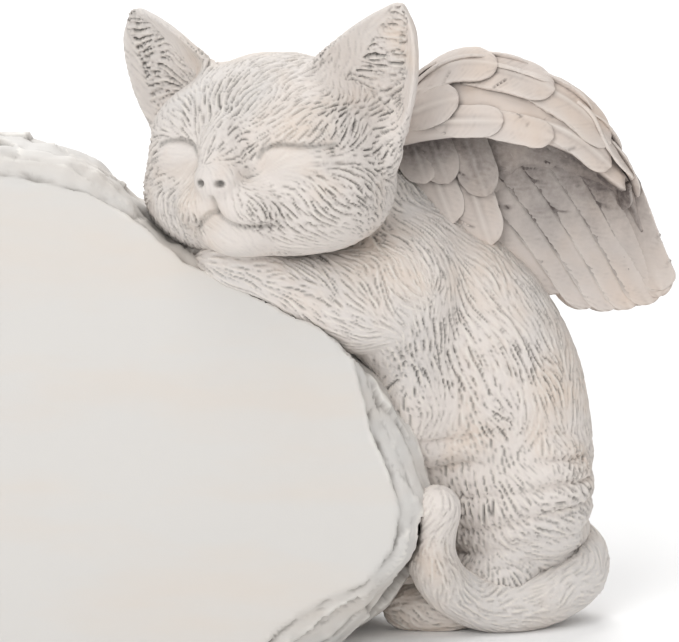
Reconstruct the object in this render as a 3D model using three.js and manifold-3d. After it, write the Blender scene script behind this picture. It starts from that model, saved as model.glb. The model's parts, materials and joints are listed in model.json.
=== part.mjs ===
// Cast resin memorial figurine: a winged kitten asleep on the shoulder of a memorial stone.
// Millimetres, +Z up, the stone's smooth face looks towards -Y. The origin is on the ground, under the
// middle of the whole figurine. Every casting is a solid of its own, fitted to its neighbours with a glue
// line, and steel dowels sit in blind bores across the joints.
import * as THREE from "three";
import { mergeVertices } from "three/addons/utils/BufferGeometryUtils.js";
import Module from "manifold-3d";

const wasm = await Module();
wasm.setup();

// ---------------------------------------------------------------- driving dimensions
const GLUE = 0.3; // glue line between two castings

const STONE = {
  width: 219, // over the widest ring of the broken edge
  height: 115,
  baseDepth: 58, // front to back on the ground
  topDepth: 26,
  faceLean: 12, // degrees that the face leans back
  roughness: 0.8, // how far the broken edge wanders in and out
};

const HEAD = {
  width: 56,
  depth: 45,
  height: 44,
  turn: 27, // degrees, towards the middle of the stone
  roll: 4, // degrees, the left ear is the higher one
  inset: 37, // from the stone's right edge to the middle of the head
  earLength: 22.5,
  earWidth: 29,
  earThickness: 3,
};

const BODY = {
  half: 18, // half the chest's thickness, front to back
  back: 20, // how far the spine lies behind the middle of the stone
  ribs: 22, // radius in the side view
  belly: 24,
  hips: 23,
};

const LEG = { shoulder: 10, elbow: 9, paw: 5.4 };
const TAIL = { root: 6.6, middle: 5.5, tip: 4.7 };

const WING = {
  shell: 2.6, // thickness of the casting behind the feathers
  blade: 1.7, // thickness of one feather
  flightWidth: 9.4,
  flightCount: 7,
  covertWidth: 11,
};

const DOWEL = { radius: 1.5, length: 24, clearance: 0.3, chamfer: 0.4 };

// ---------------------------------------------------------------- materials
const paint = (color, roughness) => new THREE.MeshStandardMaterial({ color, roughness, metalness: 0 });
const stonePaint = paint(0xdcd8d3, 0.72);
const furPaint = paint(0xd8cdc3, 0.68);
const featherPaint = paint(0xd9cfc9, 0.66);
const steel = new THREE.MeshStandardMaterial({ color: 0xa9abae, roughness: 0.35, metalness: 1 });

// ---------------------------------------------------------------- solids from three.js geometry
const v3 = (x, y, z) => new THREE.Vector3(x, y, z);

// A closed manifold-3d solid of a three.js geometry, with shared vertices merged.
function solid(geometry) {
  const bare = geometry.clone();
  bare.deleteAttribute("normal");
  bare.deleteAttribute("uv");
  const merged = mergeVertices(bare, 1e-4);
  const kept = [];
  for (let i = 0; i < merged.index.count; i += 3) {
    const [a, b, c] = [0, 1, 2].map((k) => merged.index.getX(i + k));
    if (a !== b && b !== c && a !== c) kept.push(a, b, c);
  }
  const vertProperties = merged.attributes.position.array;
  return new wasm.Manifold(new wasm.Mesh({ numProp: 3, vertProperties, triVerts: new Uint32Array(kept) }));
}

// An ellipsoid: centre, three radii, and an optional turn about X, Y and Z in degrees.
function ball(centre, radii, grow = 0, turn = [0, 0, 0], sides = 16, rings = 11) {
  const shape = new THREE.SphereGeometry(1, sides, rings);
  const place = new THREE.Matrix4().compose(
    centre,
    new THREE.Quaternion().setFromEuler(new THREE.Euler(...turn.map(THREE.MathUtils.degToRad))),
    v3(radii[0] + grow, radii[1] + grow, radii[2] + grow),
  );
  return solid(shape.applyMatrix4(place));
}

// A tube of changing radius along a smooth curve through the given points, with round ends.
// flat squeezes it front to back.
function limb(points, radii, { grow = 0, sides = 12, rings = 10, flat = 1 } = {}) {
  const curve = new THREE.CatmullRomCurve3(points);
  const girth = new THREE.CatmullRomCurve3(radii.map((radius) => v3(radius, 0, 0)));
  const frames = curve.computeFrenetFrames(rings);
  const cap = 3;
  const tube = new THREE.CylinderGeometry(1, 1, 1, sides, rings + 2 * cap);
  const corner = tube.attributes.position;
  for (let i = 0; i < corner.count; i++) {
    const ring = Math.round((corner.getY(i) + 0.5) * (rings + 2 * cap)) - cap;
    const step = THREE.MathUtils.clamp(ring, 0, rings);
    const bend = ((ring - step) / cap) * (Math.PI / 2);
    const t = curve.getUtoTmapping(step / rings);
    const along = points.length === radii.length ? t : step / rings;
    const radius = girth.getPoint(along).x + grow;
    const round = corner.getX(i) || corner.getZ(i) ? radius * Math.cos(bend) : 0;
    const reach = v3(0, 0, 0)
      .addScaledVector(frames.normals[step], corner.getX(i) * round)
      .addScaledVector(frames.binormals[step], -corner.getZ(i) * round)
      .addScaledVector(frames.tangents[step], radius * Math.sin(bend));
    const at = curve.getPoint(t);
    corner.setXYZ(i, at.x + reach.x, at.y + reach.y * flat, at.z + reach.z);
  }
  return solid(tube);
}

// A thin blade that follows a path: place(s, t) gives the middle surface, from root s = 0 to tip s = 1 and
// across from t = -1 to 1, and facing(s, t) the unit normal there.
function blade(place, facing, thickness, along = 6, across = 3) {
  const sheet = new THREE.BoxGeometry(2, 1, 1, across, 1, along);
  const corner = sheet.attributes.position;
  for (let i = 0; i < corner.count; i++) {
    const s = corner.getZ(i) + 0.5;
    const t = corner.getX(i);
    const at = place(s, t).addScaledVector(facing(s, t), corner.getY(i) * thickness);
    corner.setXYZ(i, at.x, at.y, at.z);
  }
  return solid(sheet);
}

const join = (solids) => solids.reduce((sum, one) => sum.add(one));
const cut = (body, cutters) => cutters.reduce((left, one) => left.subtract(one), body);

function meshOf(name, body, material) {
  const { vertProperties, triVerts } = body.getMesh();
  const geometry = new THREE.BufferGeometry();
  geometry.setAttribute("position", new THREE.BufferAttribute(new Float32Array(vertProperties), 3));
  geometry.setIndex(new THREE.BufferAttribute(new Uint32Array(triVerts), 1));
  geometry.computeVertexNormals();
  const mesh = new THREE.Mesh(geometry, material);
  mesh.name = name;
  return mesh;
}

// ---------------------------------------------------------------- memorial stone
// Outlines as shares of the stone's width and height, anticlockwise from the right end on the ground.
const STONE_OUTLINE = [
  [0.8, -0.09], [0.935, 0.035], [0.975, 0.12], [1.0, 0.26], [0.975, 0.42], [0.945, 0.525], [0.87, 0.63],
  [0.79, 0.745], [0.7, 0.87], [0.63, 0.955], [0.54, 1.0], [0.36, 0.985], [0.22, 0.9], [0.1, 0.72],
  [0.02, 0.47], [0.0, 0.25], [0.03, 0.07], [0.09, -0.09],
];
const FACE_OUTLINE = [
  [0.72, -0.09], [0.86, 0.085], [0.945, 0.18], [0.965, 0.3], [0.935, 0.45], [0.92, 0.59], [0.85, 0.68],
  [0.785, 0.735], [0.735, 0.79], [0.685, 0.86], [0.6, 0.925], [0.49, 0.935], [0.35, 0.905], [0.23, 0.82],
  [0.12, 0.66], [0.055, 0.44], [0.045, 0.22], [0.1, 0.02], [0.18, -0.09],
];
const STONE_MIDDLE = [0.5, 0.45];

// The distance from the stone's middle to an outline, in the direction of an angle.
function reachOf(outline) {
  const centre = new THREE.Vector2(STONE_MIDDLE[0] * STONE.width, STONE_MIDDLE[1] * STONE.height);
  const spline = new THREE.CatmullRomCurve3(
    outline.map(([x, z]) => v3(x * STONE.width - centre.x, 0, z * STONE.height - centre.y)),
    true,
    "centripetal",
  );
  const polar = spline.getSpacedPoints(360).map((p) => [Math.atan2(p.z, p.x), Math.hypot(p.x, p.z)]);
  return (angle) => {
    const off = (a) => Math.abs(Math.atan2(Math.sin(a - angle), Math.cos(a - angle)));
    return polar.reduce((best, one) => (off(one[0]) < off(best[0]) ? one : best))[1];
  };
}

const faceY = (z) => -STONE.baseDepth / 2 + z * Math.tan(THREE.MathUtils.degToRad(STONE.faceLean));
function backY(z) {
  const atTop = faceY(STONE.height) + STONE.topDepth;
  return THREE.MathUtils.lerp(STONE.baseDepth / 2, atTop, z / STONE.height);
}
// A broken edge that comes out the same each time.
const chipping = (angle, seed) => 0.6 * Math.sin(11 * angle + seed) + 0.4 * Math.sin(23 * angle + 2.3 * seed);

// The stone as six rings from the back to the face, cut off flat on the ground.
function stoneSolid(grow = 0) {
  const sides = 72;
  const outer = reachOf(STONE_OUTLINE);
  const face = reachOf(FACE_OUTLINE);
  const reach = {
    back: (a) => outer(a) - 6,
    rear: (a) => outer(a) - 0.6,
    ridge: outer,
    front: (a) => THREE.MathUtils.lerp(face(a), outer(a), 0.72),
    face,
  };
  const rings = ["back", "rear", "ridge", "front", "face"];
  const behind = { back: 1, rear: 0.82, ridge: 0.5, front: 0.18, face: 0 };
  const drum = new THREE.CylinderGeometry(1, 1, 1, sides, rings.length - 1);
  const corner = drum.attributes.position;
  for (let i = 0; i < corner.count; i++) {
    const ring = rings[Math.round((0.5 - corner.getY(i)) * (rings.length - 1))];
    const angle = Math.atan2(corner.getZ(i), corner.getX(i));
    const rough = ring === "face" || ring === "back" ? 1 : 2;
    const wander = STONE.roughness * rough * chipping(angle, rings.indexOf(ring));
    const radius = Math.hypot(corner.getX(i), corner.getZ(i)) * (reach[ring](angle) + wander + grow);
    const x = (STONE_MIDDLE[0] - 0.5) * STONE.width + radius * Math.cos(angle);
    const z = STONE_MIDDLE[1] * STONE.height + radius * Math.sin(angle);
    const level = Math.min(z, STONE.height);
    const y = THREE.MathUtils.lerp(faceY(level) - grow, backY(level) + grow, behind[ring]);
    corner.setXYZ(i, x, y, z);
  }
  const room = 3 * STONE.width;
  const aboveGround = new THREE.BoxGeometry(room, room, room).translate(0, 0, room / 2 - grow);
  return solid(drum).intersect(solid(aboveGround));
}

// The height of the stone's upper edge at a distance from its right end.
function edgeHeight(fromRight) {
  const x = (1 - fromRight / STONE.width) * STONE.width;
  const spline = new THREE.CatmullRomCurve3(
    STONE_OUTLINE.map(([px, pz]) => v3(px * STONE.width, 0, pz * STONE.height)),
    true,
    "centripetal",
  );
  const upper = spline.getSpacedPoints(720).filter((p) => p.z > 0.25 * STONE.height);
  return upper.reduce((best, p) => (Math.abs(p.x - x) < Math.abs(best.x - x) ? p : best)).z;
}

// ---------------------------------------------------------------- places of the kitten's joints
// The kitten hangs on the stone's right end, so its places start from there and from the stone's edge.
const RIGHT = STONE.width / 2;
const head = v3(RIGHT - HEAD.inset, 0, edgeHeight(HEAD.inset + 11) + HEAD.height / 2 + 2.2);
const neck = head.clone().add(v3(20.5, 13, -14.5));
const shoulder = head.clone().add(v3(31.5, BODY.back - 2, -29.5));
const hips = v3(RIGHT + 14.7, BODY.back, 40);
const rump = v3(RIGHT + 17.5, BODY.back, 23);
const ribs = shoulder.clone().lerp(hips, 0.3).add(v3(4.2, 0, 0.4));
const belly = shoulder.clone().lerp(hips, 0.65).add(v3(3.2, 0, 0.2));
const wingRoot = shoulder.clone().add(v3(13, -2, 12));

// ---------------------------------------------------------------- torso with haunches and hind feet
function torsoSolid(grow = 0) {
  const sides = [-1, 1];
  const spine = limb(
    [neck, shoulder, ribs, belly, hips, rump],
    [13, 17.5, BODY.ribs, BODY.belly, BODY.hips, 20],
    { grow, sides: 20, rings: 12, flat: BODY.half / BODY.ribs },
  );
  const haunch = (side) =>
    ball(v3(RIGHT + 19, BODY.back + side * 9.5, 31), [18.3, 10.5, 20.5], grow, [0, -12 * side, 0]);
  const foot = (side) => {
    const y = BODY.back + side * 15.5;
    const path = [v3(RIGHT - 6.5, y, 5), v3(RIGHT + 4, y, 5.6), v3(RIGHT + 15, y - side * 5, 12)];
    return limb(path, [5, 6, 10], { grow, rings: 5, sides: 10 });
  };
  const floor = new THREE.BoxGeometry(400, 400, 400).translate(0, 0, 200 - grow);
  return join([spine, ...sides.map(haunch), ...sides.map(foot)]).intersect(solid(floor));
}

// ---------------------------------------------------------------- head
// The head's own frame: -Y is where the nose points, +X is the kitten's left, the origin is its middle.
const headGroup = new THREE.Group();
headGroup.position.copy(head);
const radians = THREE.MathUtils.degToRad;
headGroup.rotation.set(0, radians(-HEAD.roll), radians(-HEAD.turn), "ZYX");
headGroup.updateMatrixWorld(true);

// An ear: a cupped leaf whose hollow faces forward and outward.
function earSolid(side) {
  const root = v3(side * 21, 3, 11);
  const tip = v3(side * 31, 4, 11 + HEAD.earLength);
  const up = tip.clone().sub(root).normalize();
  const facing = v3(side * 0.3, -0.95, 0).normalize();
  const out = new THREE.Vector3().crossVectors(facing, up).normalize();
  const halfWidth = (s) => (HEAD.earWidth / 2) * (1 - 0.66 * s ** 1.3) * Math.sqrt(1 - 0.9 * s ** 8);
  const place = (s, t) =>
    root
      .clone()
      .lerp(tip, 1.3 * s - 0.3)
      .addScaledVector(out, t * halfWidth(s))
      .addScaledVector(facing, (t * t - 0.35) * 6 * (1 - 0.5 * s))
      .addScaledVector(facing, -2.2 * Math.sin(Math.PI * s));
  return blade(place, () => facing, HEAD.earThickness, 6, 4);
}

function headSolid(grow = 0) {
  const pair = (make) => [-1, 1].map(make);
  const [rx, ry, rz] = [HEAD.width / 2, HEAD.depth / 2, HEAD.height / 2];
  const still = [0, 0, 0];
  const nose = -1; // the muzzle sits a touch to one side, as modelled by hand
  const bridge = [v3(-1.5, -13, 8), v3(-1.5, -20.5, 1.5), v3(nose, -25.4, -2.2)];
  return join([
    ball(v3(0, 3, 2), [rx, ry, rz], grow, still, 18, 12),
    ...pair((side) => ball(v3(side * 12.5, -4, -8), [15.5, 15.5, 13], grow, still, 14, 9)),
    ...pair((side) => ball(v3(side * 12.8 - 1.6, -13.2, 2.2), [8.6, 7, 6.6], grow, still, 10, 7)),
    ...pair((side) => ball(v3(nose + side * 5.4, -19.8, -8.8), [7.2, 7, 5.8], grow, still, 10, 7)),
    limb(bridge, [6.4, 5.4, 3.9], { grow, rings: 4, sides: 10 }),
    ball(v3(nose, -27, -3.4), [3.6, 2.7, 2.7], grow, still, 8, 6),
    ball(v3(nose, -16.5, -14.6), [8, 7.2, 5.8], grow, still, 10, 7),
    ...pair(earSolid),
  ]);
}

// ---------------------------------------------------------------- forelegs and tail
const onEdge = (fromRight, y, above) => v3(RIGHT - fromRight, y, edgeHeight(fromRight) + above);
const forelegPath = (near) =>
  near
    ? [
        shoulder.clone().add(v3(-1, -11, 1)),
        shoulder.clone().add(v3(-8.5, -21, -6)),
        onEdge(HEAD.inset - 8, -6, 7.2),
        onEdge(HEAD.inset + 7, -7, 2.6),
      ]
    : [
        shoulder.clone().add(v3(-3, 11, 2)),
        shoulder.clone().add(v3(-15, 11, -4)),
        onEdge(HEAD.inset - 5, 12, 5.5),
        onEdge(HEAD.inset + 8, 11, 4),
      ];
const forelegSolid = (near, grow = 0) =>
  limb(forelegPath(near), [LEG.shoulder, LEG.elbow, LEG.paw + 0.8, LEG.paw], { grow });

// The tail leaves the rump at the back right, runs round the haunch on the ground and climbs the stone.
const tailPath = [
  [25, 31, 19], [34, 24, 15], [35, 15, 11], [29, 8, 7.6], [19.4, 3.5, TAIL.middle],
  [9.2, 0, 7.6], [2, -5, 13.7], [-0.8, -9, 22.6], [0.8, -12, 32],
].map(([x, y, z]) => v3(RIGHT + x, y, z));
function tailSolid() {
  const { root, middle, tip } = TAIL;
  return limb(tailPath, [root, middle + 0.3, middle, middle - 0.4, tip], { sides: 10, rings: 18 });
}

// ---------------------------------------------------------------- wings
// The wing is an arched sheet. lead is its front lip, ridge its highest line and trail the feather tips,
// each from beside the head (u = 0) to the wing's outer end (u = 1), measured from the wing's root.
const WING_LINES = {
  lead: [[-20, -6, 16.5], [-14, -10, 18.5], [-3.5, -12, 20], [10.5, -12, 20.4], [24, -10, 16.5], [37.5, -5, 7]],
  ridge: [[-18.5, -4, 20.5], [-11.5, -3, 28.5], [3, -2, 33.4], [16, -2, 31], [29, -2, 22.6], [38.5, -2, 6.5]],
  trail: [[-16, -2, 12.6], [2.5, 2, -3.5], [26.5, 4, -19.3], [38, 4, -20.8], [44.5, 2, -19], [46.3, 0, -15.6]],
};
const wingLine = Object.fromEntries(
  Object.entries(WING_LINES).map(([name, points]) => [
    name,
    new THREE.CatmullRomCurve3(points.map((p) => wingRoot.clone().add(v3(...p)))),
  ]),
);
// v runs from the lip (-1) over the ridge (0) to the feather tips (1).
function wingPoint(u, v) {
  const at = (name, share) => wingLine[name].getPoint(THREE.MathUtils.clamp(u, 0, 1)).multiplyScalar(share);
  return at("lead", (v * (v - 1)) / 2)
    .add(at("ridge", 1 - v * v))
    .add(at("trail", (v * (v + 1)) / 2));
}
function wingOut(u, v) {
  const [du, dv] = [0.01, 0.01];
  const alongU = wingPoint(Math.min(u + du, 1), v).sub(wingPoint(Math.max(u - du, 0), v));
  const alongV = wingPoint(u, v + dv).sub(wingPoint(u, v - dv));
  return alongU.cross(alongV).normalize();
}

// A feather lies on the sheet from (u, v) at its root to (u, v) at its tip, lifted off it to one side.
function featherSolid(from, to, width, lift, thickness = WING.blade) {
  const middle = (s) => [THREE.MathUtils.lerp(from[0], to[0], s), THREE.MathUtils.lerp(from[1], to[1], s)];
  const halfWidth = (s) => (width / 2) * Math.min(1, 0.72 + 0.6 * s) * Math.sqrt(1 - 0.93 * s ** 9);
  const spread = (s) => 1 - (1 - s) ** 1.5;
  const facing = (s) => wingOut(...middle(spread(s)));
  const place = (s, t) => {
    const share = spread(s);
    const ahead = wingPoint(...middle(share + 0.02)).sub(wingPoint(...middle(share - 0.02)));
    const across = facing(s).cross(ahead).normalize();
    return wingPoint(...middle(share))
      .addScaledVector(across, t * halfWidth(share))
      .addScaledVector(facing(s), lift * (0.35 + 0.65 * share) - 0.5 * t * t);
  };
  return blade(place, facing, thickness, 4, 2);
}

function wingSolid() {
  // Beside the body the casting reaches the wing's lower edge; further out the flight feathers take over.
  const shellEnd = (u) => THREE.MathUtils.lerp(0.97, 0.6, THREE.MathUtils.smoothstep(u, 0.16, 0.42));
  const shell = new THREE.BoxGeometry(1, 1, 1, 8, 1, 6);
  const corner = shell.attributes.position;
  for (let i = 0; i < corner.count; i++) {
    const u = corner.getX(i) + 0.5;
    const v = THREE.MathUtils.lerp(-1, shellEnd(u), corner.getZ(i) + 0.5);
    const at = wingPoint(u, v).addScaledVector(wingOut(u, v), -corner.getY(i) * WING.shell);
    corner.setXYZ(i, at.x, at.y, at.z);
  }
  const flight = Array.from({ length: WING.flightCount }, (_, i) => {
    const u = THREE.MathUtils.lerp(0.3, 0.97, i / (WING.flightCount - 1));
    return featherSolid([u, 0.3], [u, 1], WING.flightWidth, -0.25 - 0.35 * (i % 2));
  });
  const roof = [-0.1, -0.5, -0.84].flatMap((v, row) =>
    Array.from({ length: 3 }, (_, i) => {
      const u = 0.03 + 0.27 * i + 0.08 * row;
      return featherSolid([u, v], [Math.min(u + 0.32, 1), v], WING.covertWidth, WING.shell / 2 + 0.5);
    }),
  );
  const stem = limb(
    [wingPoint(0.16, 0.3), wingPoint(0.2, 0.62), wingRoot.clone().add(v3(-2, 1, -3))],
    [2.8, 4.2, 5.4],
    { sides: 10, rings: 4 },
  );
  return join([solid(shell), ...flight, ...roof, stem]);
}

// The far wing is the near one seen in the plane through the spine, which leans back with the kitten.
function acrossSpine() {
  const normal = v3(-0.07, 0.98, -0.18).normalize();
  const onSpine = ribs.clone().add(v3(0, 2, 0));
  const { x, y, z } = normal;
  const flip = new THREE.Matrix4().set(
    1 - 2 * x * x, -2 * x * y, -2 * x * z, 0,
    -2 * x * y, 1 - 2 * y * y, -2 * y * z, 0,
    -2 * x * z, -2 * y * z, 1 - 2 * z * z, 0,
    0, 0, 0, 1,
  );
  const away = onSpine.clone().sub(onSpine.clone().applyMatrix4(flip));
  return new THREE.Matrix4().makeTranslation(away).multiply(flip);
}

// ---------------------------------------------------------------- dowels and their bores
function dowelSolid(middle, direction, grow = 0) {
  const { radius, length, chamfer } = DOWEL;
  const [r, half] = [radius + grow, length / 2 + grow];
  const end = [[r, half - chamfer], [r - chamfer, half], [0, half]];
  const profile = [...end.map(([x, y]) => [x, -y]).reverse(), ...end];
  const pin = new THREE.LatheGeometry(profile.map(([x, y]) => new THREE.Vector2(x, y)), 12);
  const turn = new THREE.Quaternion().setFromUnitVectors(v3(0, 1, 0), direction.clone().normalize());
  return solid(pin.applyQuaternion(turn).translate(middle.x, middle.y, middle.z));
}

const flip = acrossSpine();
const wingPinWay = v3(-0.12, 0.05, -1).normalize();
const wingPin = wingRoot.clone().add(v3(0, 1, -6));
const flipWay = (way) => way.clone().transformDirection(flip);
const dowels = {
  neck_dowel: { middle: head.clone().lerp(neck, 0.62), way: neck.clone().sub(head) },
  left_wing_dowel: { middle: wingPin, way: wingPinWay },
  right_wing_dowel: { middle: wingPin.clone().applyMatrix4(flip), way: flipWay(wingPinWay) },
  upper_stone_dowel: { middle: v3(RIGHT - 4, 6, 44), way: v3(1, 0.3, 0) },
  lower_stone_dowel: { middle: v3(RIGHT - 3, 8, 22), way: v3(1, 0.3, 0) },
};
const bores = Object.values(dowels).map(({ middle, way }) => dowelSolid(middle, way, DOWEL.clearance));

// ---------------------------------------------------------------- fitting the castings to each other
const stoneRoom = stoneSolid(GLUE);
const torsoRoom = torsoSolid(GLUE);
const toWorld = (body, object) => body.transform(object.matrixWorld.elements);
const toLocal = (body, object) => body.transform(object.matrixWorld.clone().invert().elements);
const headFit = cut(toWorld(headSolid(), headGroup), [stoneRoom, torsoRoom, ...bores]);
const headRoom = toWorld(headSolid(GLUE), headGroup);

const torsoFit = cut(torsoSolid(), [stoneRoom, ...bores]);
const foreleg = (near) => cut(forelegSolid(near), [stoneRoom, torsoRoom, headRoom]);
const tailFit = cut(tailSolid(), [stoneRoom, torsoRoom]);
const wingWhole = wingSolid();
const wingFit = cut(wingWhole, [torsoRoom, headRoom, ...bores]);
const farWingFit = cut(mirrored(wingWhole), [torsoRoom, headRoom, forelegSolid(false, GLUE), ...bores]);

// A solid seen in the spine plane. A mirror turns faces inside out, so each one is turned back.
function mirrored(body) {
  const { vertProperties, triVerts } = body.getMesh();
  const geometry = new THREE.BufferGeometry();
  geometry.setAttribute("position", new THREE.BufferAttribute(new Float32Array(vertProperties), 3));
  geometry.setIndex(Array.from(triVerts).reverse());
  return solid(geometry.applyMatrix4(flip));
}

// The largest of the pieces that a cut leaves.
const larger = (best, one) => (one.volume() > best.volume() ? one : best);
const largest = (body) => body.decompose().reduce(larger);

const kitten = new THREE.Group();
headGroup.add(meshOf("kitten_head", toLocal(largest(headFit), headGroup), furPaint));
kitten.add(
  headGroup,
  meshOf("kitten_torso", largest(torsoFit), furPaint),
  meshOf("left_foreleg", largest(foreleg(true)), furPaint),
  meshOf("right_foreleg", largest(foreleg(false)), furPaint),
  meshOf("tail", largest(tailFit), furPaint),
  meshOf("left_wing", largest(wingFit), featherPaint),
  meshOf("right_wing", largest(farWingFit), featherPaint),
  ...Object.entries(dowels).map(([name, { middle, way }]) => meshOf(name, dowelSolid(middle, way), steel)),
);

const figurine = new THREE.Group();
figurine.add(meshOf("memorial_stone", largest(cut(stoneSolid(), bores)), stonePaint), kitten);

// The origin goes under the middle of the whole figurine.
figurine.updateMatrixWorld(true);
const middle = new THREE.Box3().setFromObject(figurine, true).getCenter(v3(0, 0, 0));
figurine.position.set(-middle.x, -middle.y, 0);

const part = new THREE.Group();
part.add(figurine);

export default part;
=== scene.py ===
"""Fine modelling and finishes of a cast resin angel kitten asleep on a memorial stone.

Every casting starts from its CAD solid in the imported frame. The solid becomes a distance field, the field is
softened as clay would be, and the skin drawn from it is carved with fur, folds, feathers or chipped stone.
Lengths are in millimetres up to the moment a mesh is handed to Blender, which works in metres.
"""

from __future__ import annotations

import functools
import json
import logging
import math
from dataclasses import dataclass, field
from enum import Enum
from typing import ClassVar

import bpy
import numpy as np
import openvdb as vdb
from mathutils import Matrix, Vector

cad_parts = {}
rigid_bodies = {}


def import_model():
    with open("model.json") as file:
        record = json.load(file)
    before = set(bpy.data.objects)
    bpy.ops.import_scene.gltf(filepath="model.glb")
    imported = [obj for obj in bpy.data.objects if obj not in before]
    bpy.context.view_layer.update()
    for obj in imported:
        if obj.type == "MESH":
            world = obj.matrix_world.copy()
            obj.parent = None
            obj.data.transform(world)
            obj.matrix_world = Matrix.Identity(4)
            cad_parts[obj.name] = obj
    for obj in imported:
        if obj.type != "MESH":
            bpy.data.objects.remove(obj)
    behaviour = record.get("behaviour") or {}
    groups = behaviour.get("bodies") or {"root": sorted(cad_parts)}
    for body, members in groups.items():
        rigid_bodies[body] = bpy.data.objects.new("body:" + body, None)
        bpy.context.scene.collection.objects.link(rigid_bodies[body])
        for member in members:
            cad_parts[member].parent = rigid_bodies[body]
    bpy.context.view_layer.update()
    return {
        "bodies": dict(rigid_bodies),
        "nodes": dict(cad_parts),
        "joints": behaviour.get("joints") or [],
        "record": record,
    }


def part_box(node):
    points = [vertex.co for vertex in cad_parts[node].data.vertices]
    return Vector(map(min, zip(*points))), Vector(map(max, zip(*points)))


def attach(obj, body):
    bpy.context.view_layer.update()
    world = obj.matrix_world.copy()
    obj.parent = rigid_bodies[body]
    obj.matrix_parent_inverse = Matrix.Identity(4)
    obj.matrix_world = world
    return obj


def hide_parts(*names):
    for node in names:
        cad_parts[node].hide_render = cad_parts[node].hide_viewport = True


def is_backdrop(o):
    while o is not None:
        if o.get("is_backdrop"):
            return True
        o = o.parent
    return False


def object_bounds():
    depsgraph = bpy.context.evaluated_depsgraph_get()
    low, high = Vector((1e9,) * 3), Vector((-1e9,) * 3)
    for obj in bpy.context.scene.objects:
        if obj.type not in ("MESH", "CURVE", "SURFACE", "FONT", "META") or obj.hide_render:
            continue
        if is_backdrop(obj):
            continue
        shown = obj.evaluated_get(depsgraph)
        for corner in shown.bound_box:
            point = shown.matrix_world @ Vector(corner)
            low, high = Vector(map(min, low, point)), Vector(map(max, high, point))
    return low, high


LOG = logging.getLogger("angel_kitten")
MM = 1000.0
WASH_AND_SHADE = "wash"  # vertex attribute: how much dark glaze stays in the carving plus painted shade in crevices, folds and under the wings' arch, 0 to 1
BLUR_REACH = 2.6  # standard deviations of a blur that are summed
BRUSH = "brush"  # vertex attribute: how much of the light dry-brushed coat a ridge takes, 0 to 1


# ------------------------------------------------------------------------------------------- small tools
def smoothstep(low: float, high: float, values: np.ndarray) -> np.ndarray:
    """Smooth ramp from 0 to 1.

    Args:
        low: where the ramp starts.
        high: where it ends.
        values: numbers to run through it.

    Returns:
        The ramp's height at each value.
    """
    t = np.clip((values - low) / (high - low), 0.0, 1.0)
    return t * t * (3.0 - 2.0 * t)


def unit(vectors: np.ndarray) -> np.ndarray:
    """The vectors, each scaled to length one."""
    length = np.linalg.norm(vectors, axis=-1, keepdims=True)
    return vectors / np.maximum(length, 1e-9)


def blended(table: np.ndarray, low: np.ndarray, share: np.ndarray) -> np.ndarray:
    """Values between the eight table entries around each place.

    Args:
        table: numbers on a grid in space, which repeats past its end.
        low: the grid index below each place.
        share: how far each place is on the way to the next index, along each axis.

    Returns:
        One value a place.
    """
    total = np.zeros(len(low), np.float32)
    for corner in range(8):
        step = np.array([corner >> 2 & 1, corner >> 1 & 1, corner & 1])
        weight = np.prod(np.where(step, share, 1 - share), axis=1)
        at = (low + step) % table.shape
        total += weight * table[at[:, 0], at[:, 1], at[:, 2]]
    return total


@functools.cache
def node_box(name: str) -> tuple[np.ndarray, np.ndarray]:
    """The lowest and highest corner of a CAD node in millimetres."""
    low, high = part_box(name)
    return np.array(low) * MM, np.array(high) * MM


def node_mesh(node: bpy.types.Object) -> tuple[np.ndarray, np.ndarray]:
    """A CAD node's surface.

    Args:
        node: the node's object in the frame.

    Returns:
        Its points in millimetres and its triangles.
    """
    mesh = node.data
    points = np.zeros(len(mesh.vertices) * 3, np.float32)
    mesh.vertices.foreach_get("co", points)
    mesh.calc_loop_triangles()
    triangles = np.zeros(len(mesh.loop_triangles) * 3, np.int32)
    mesh.loop_triangles.foreach_get("vertices", triangles)
    return points.reshape(-1, 3) * MM, triangles.reshape(-1, 3)


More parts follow.
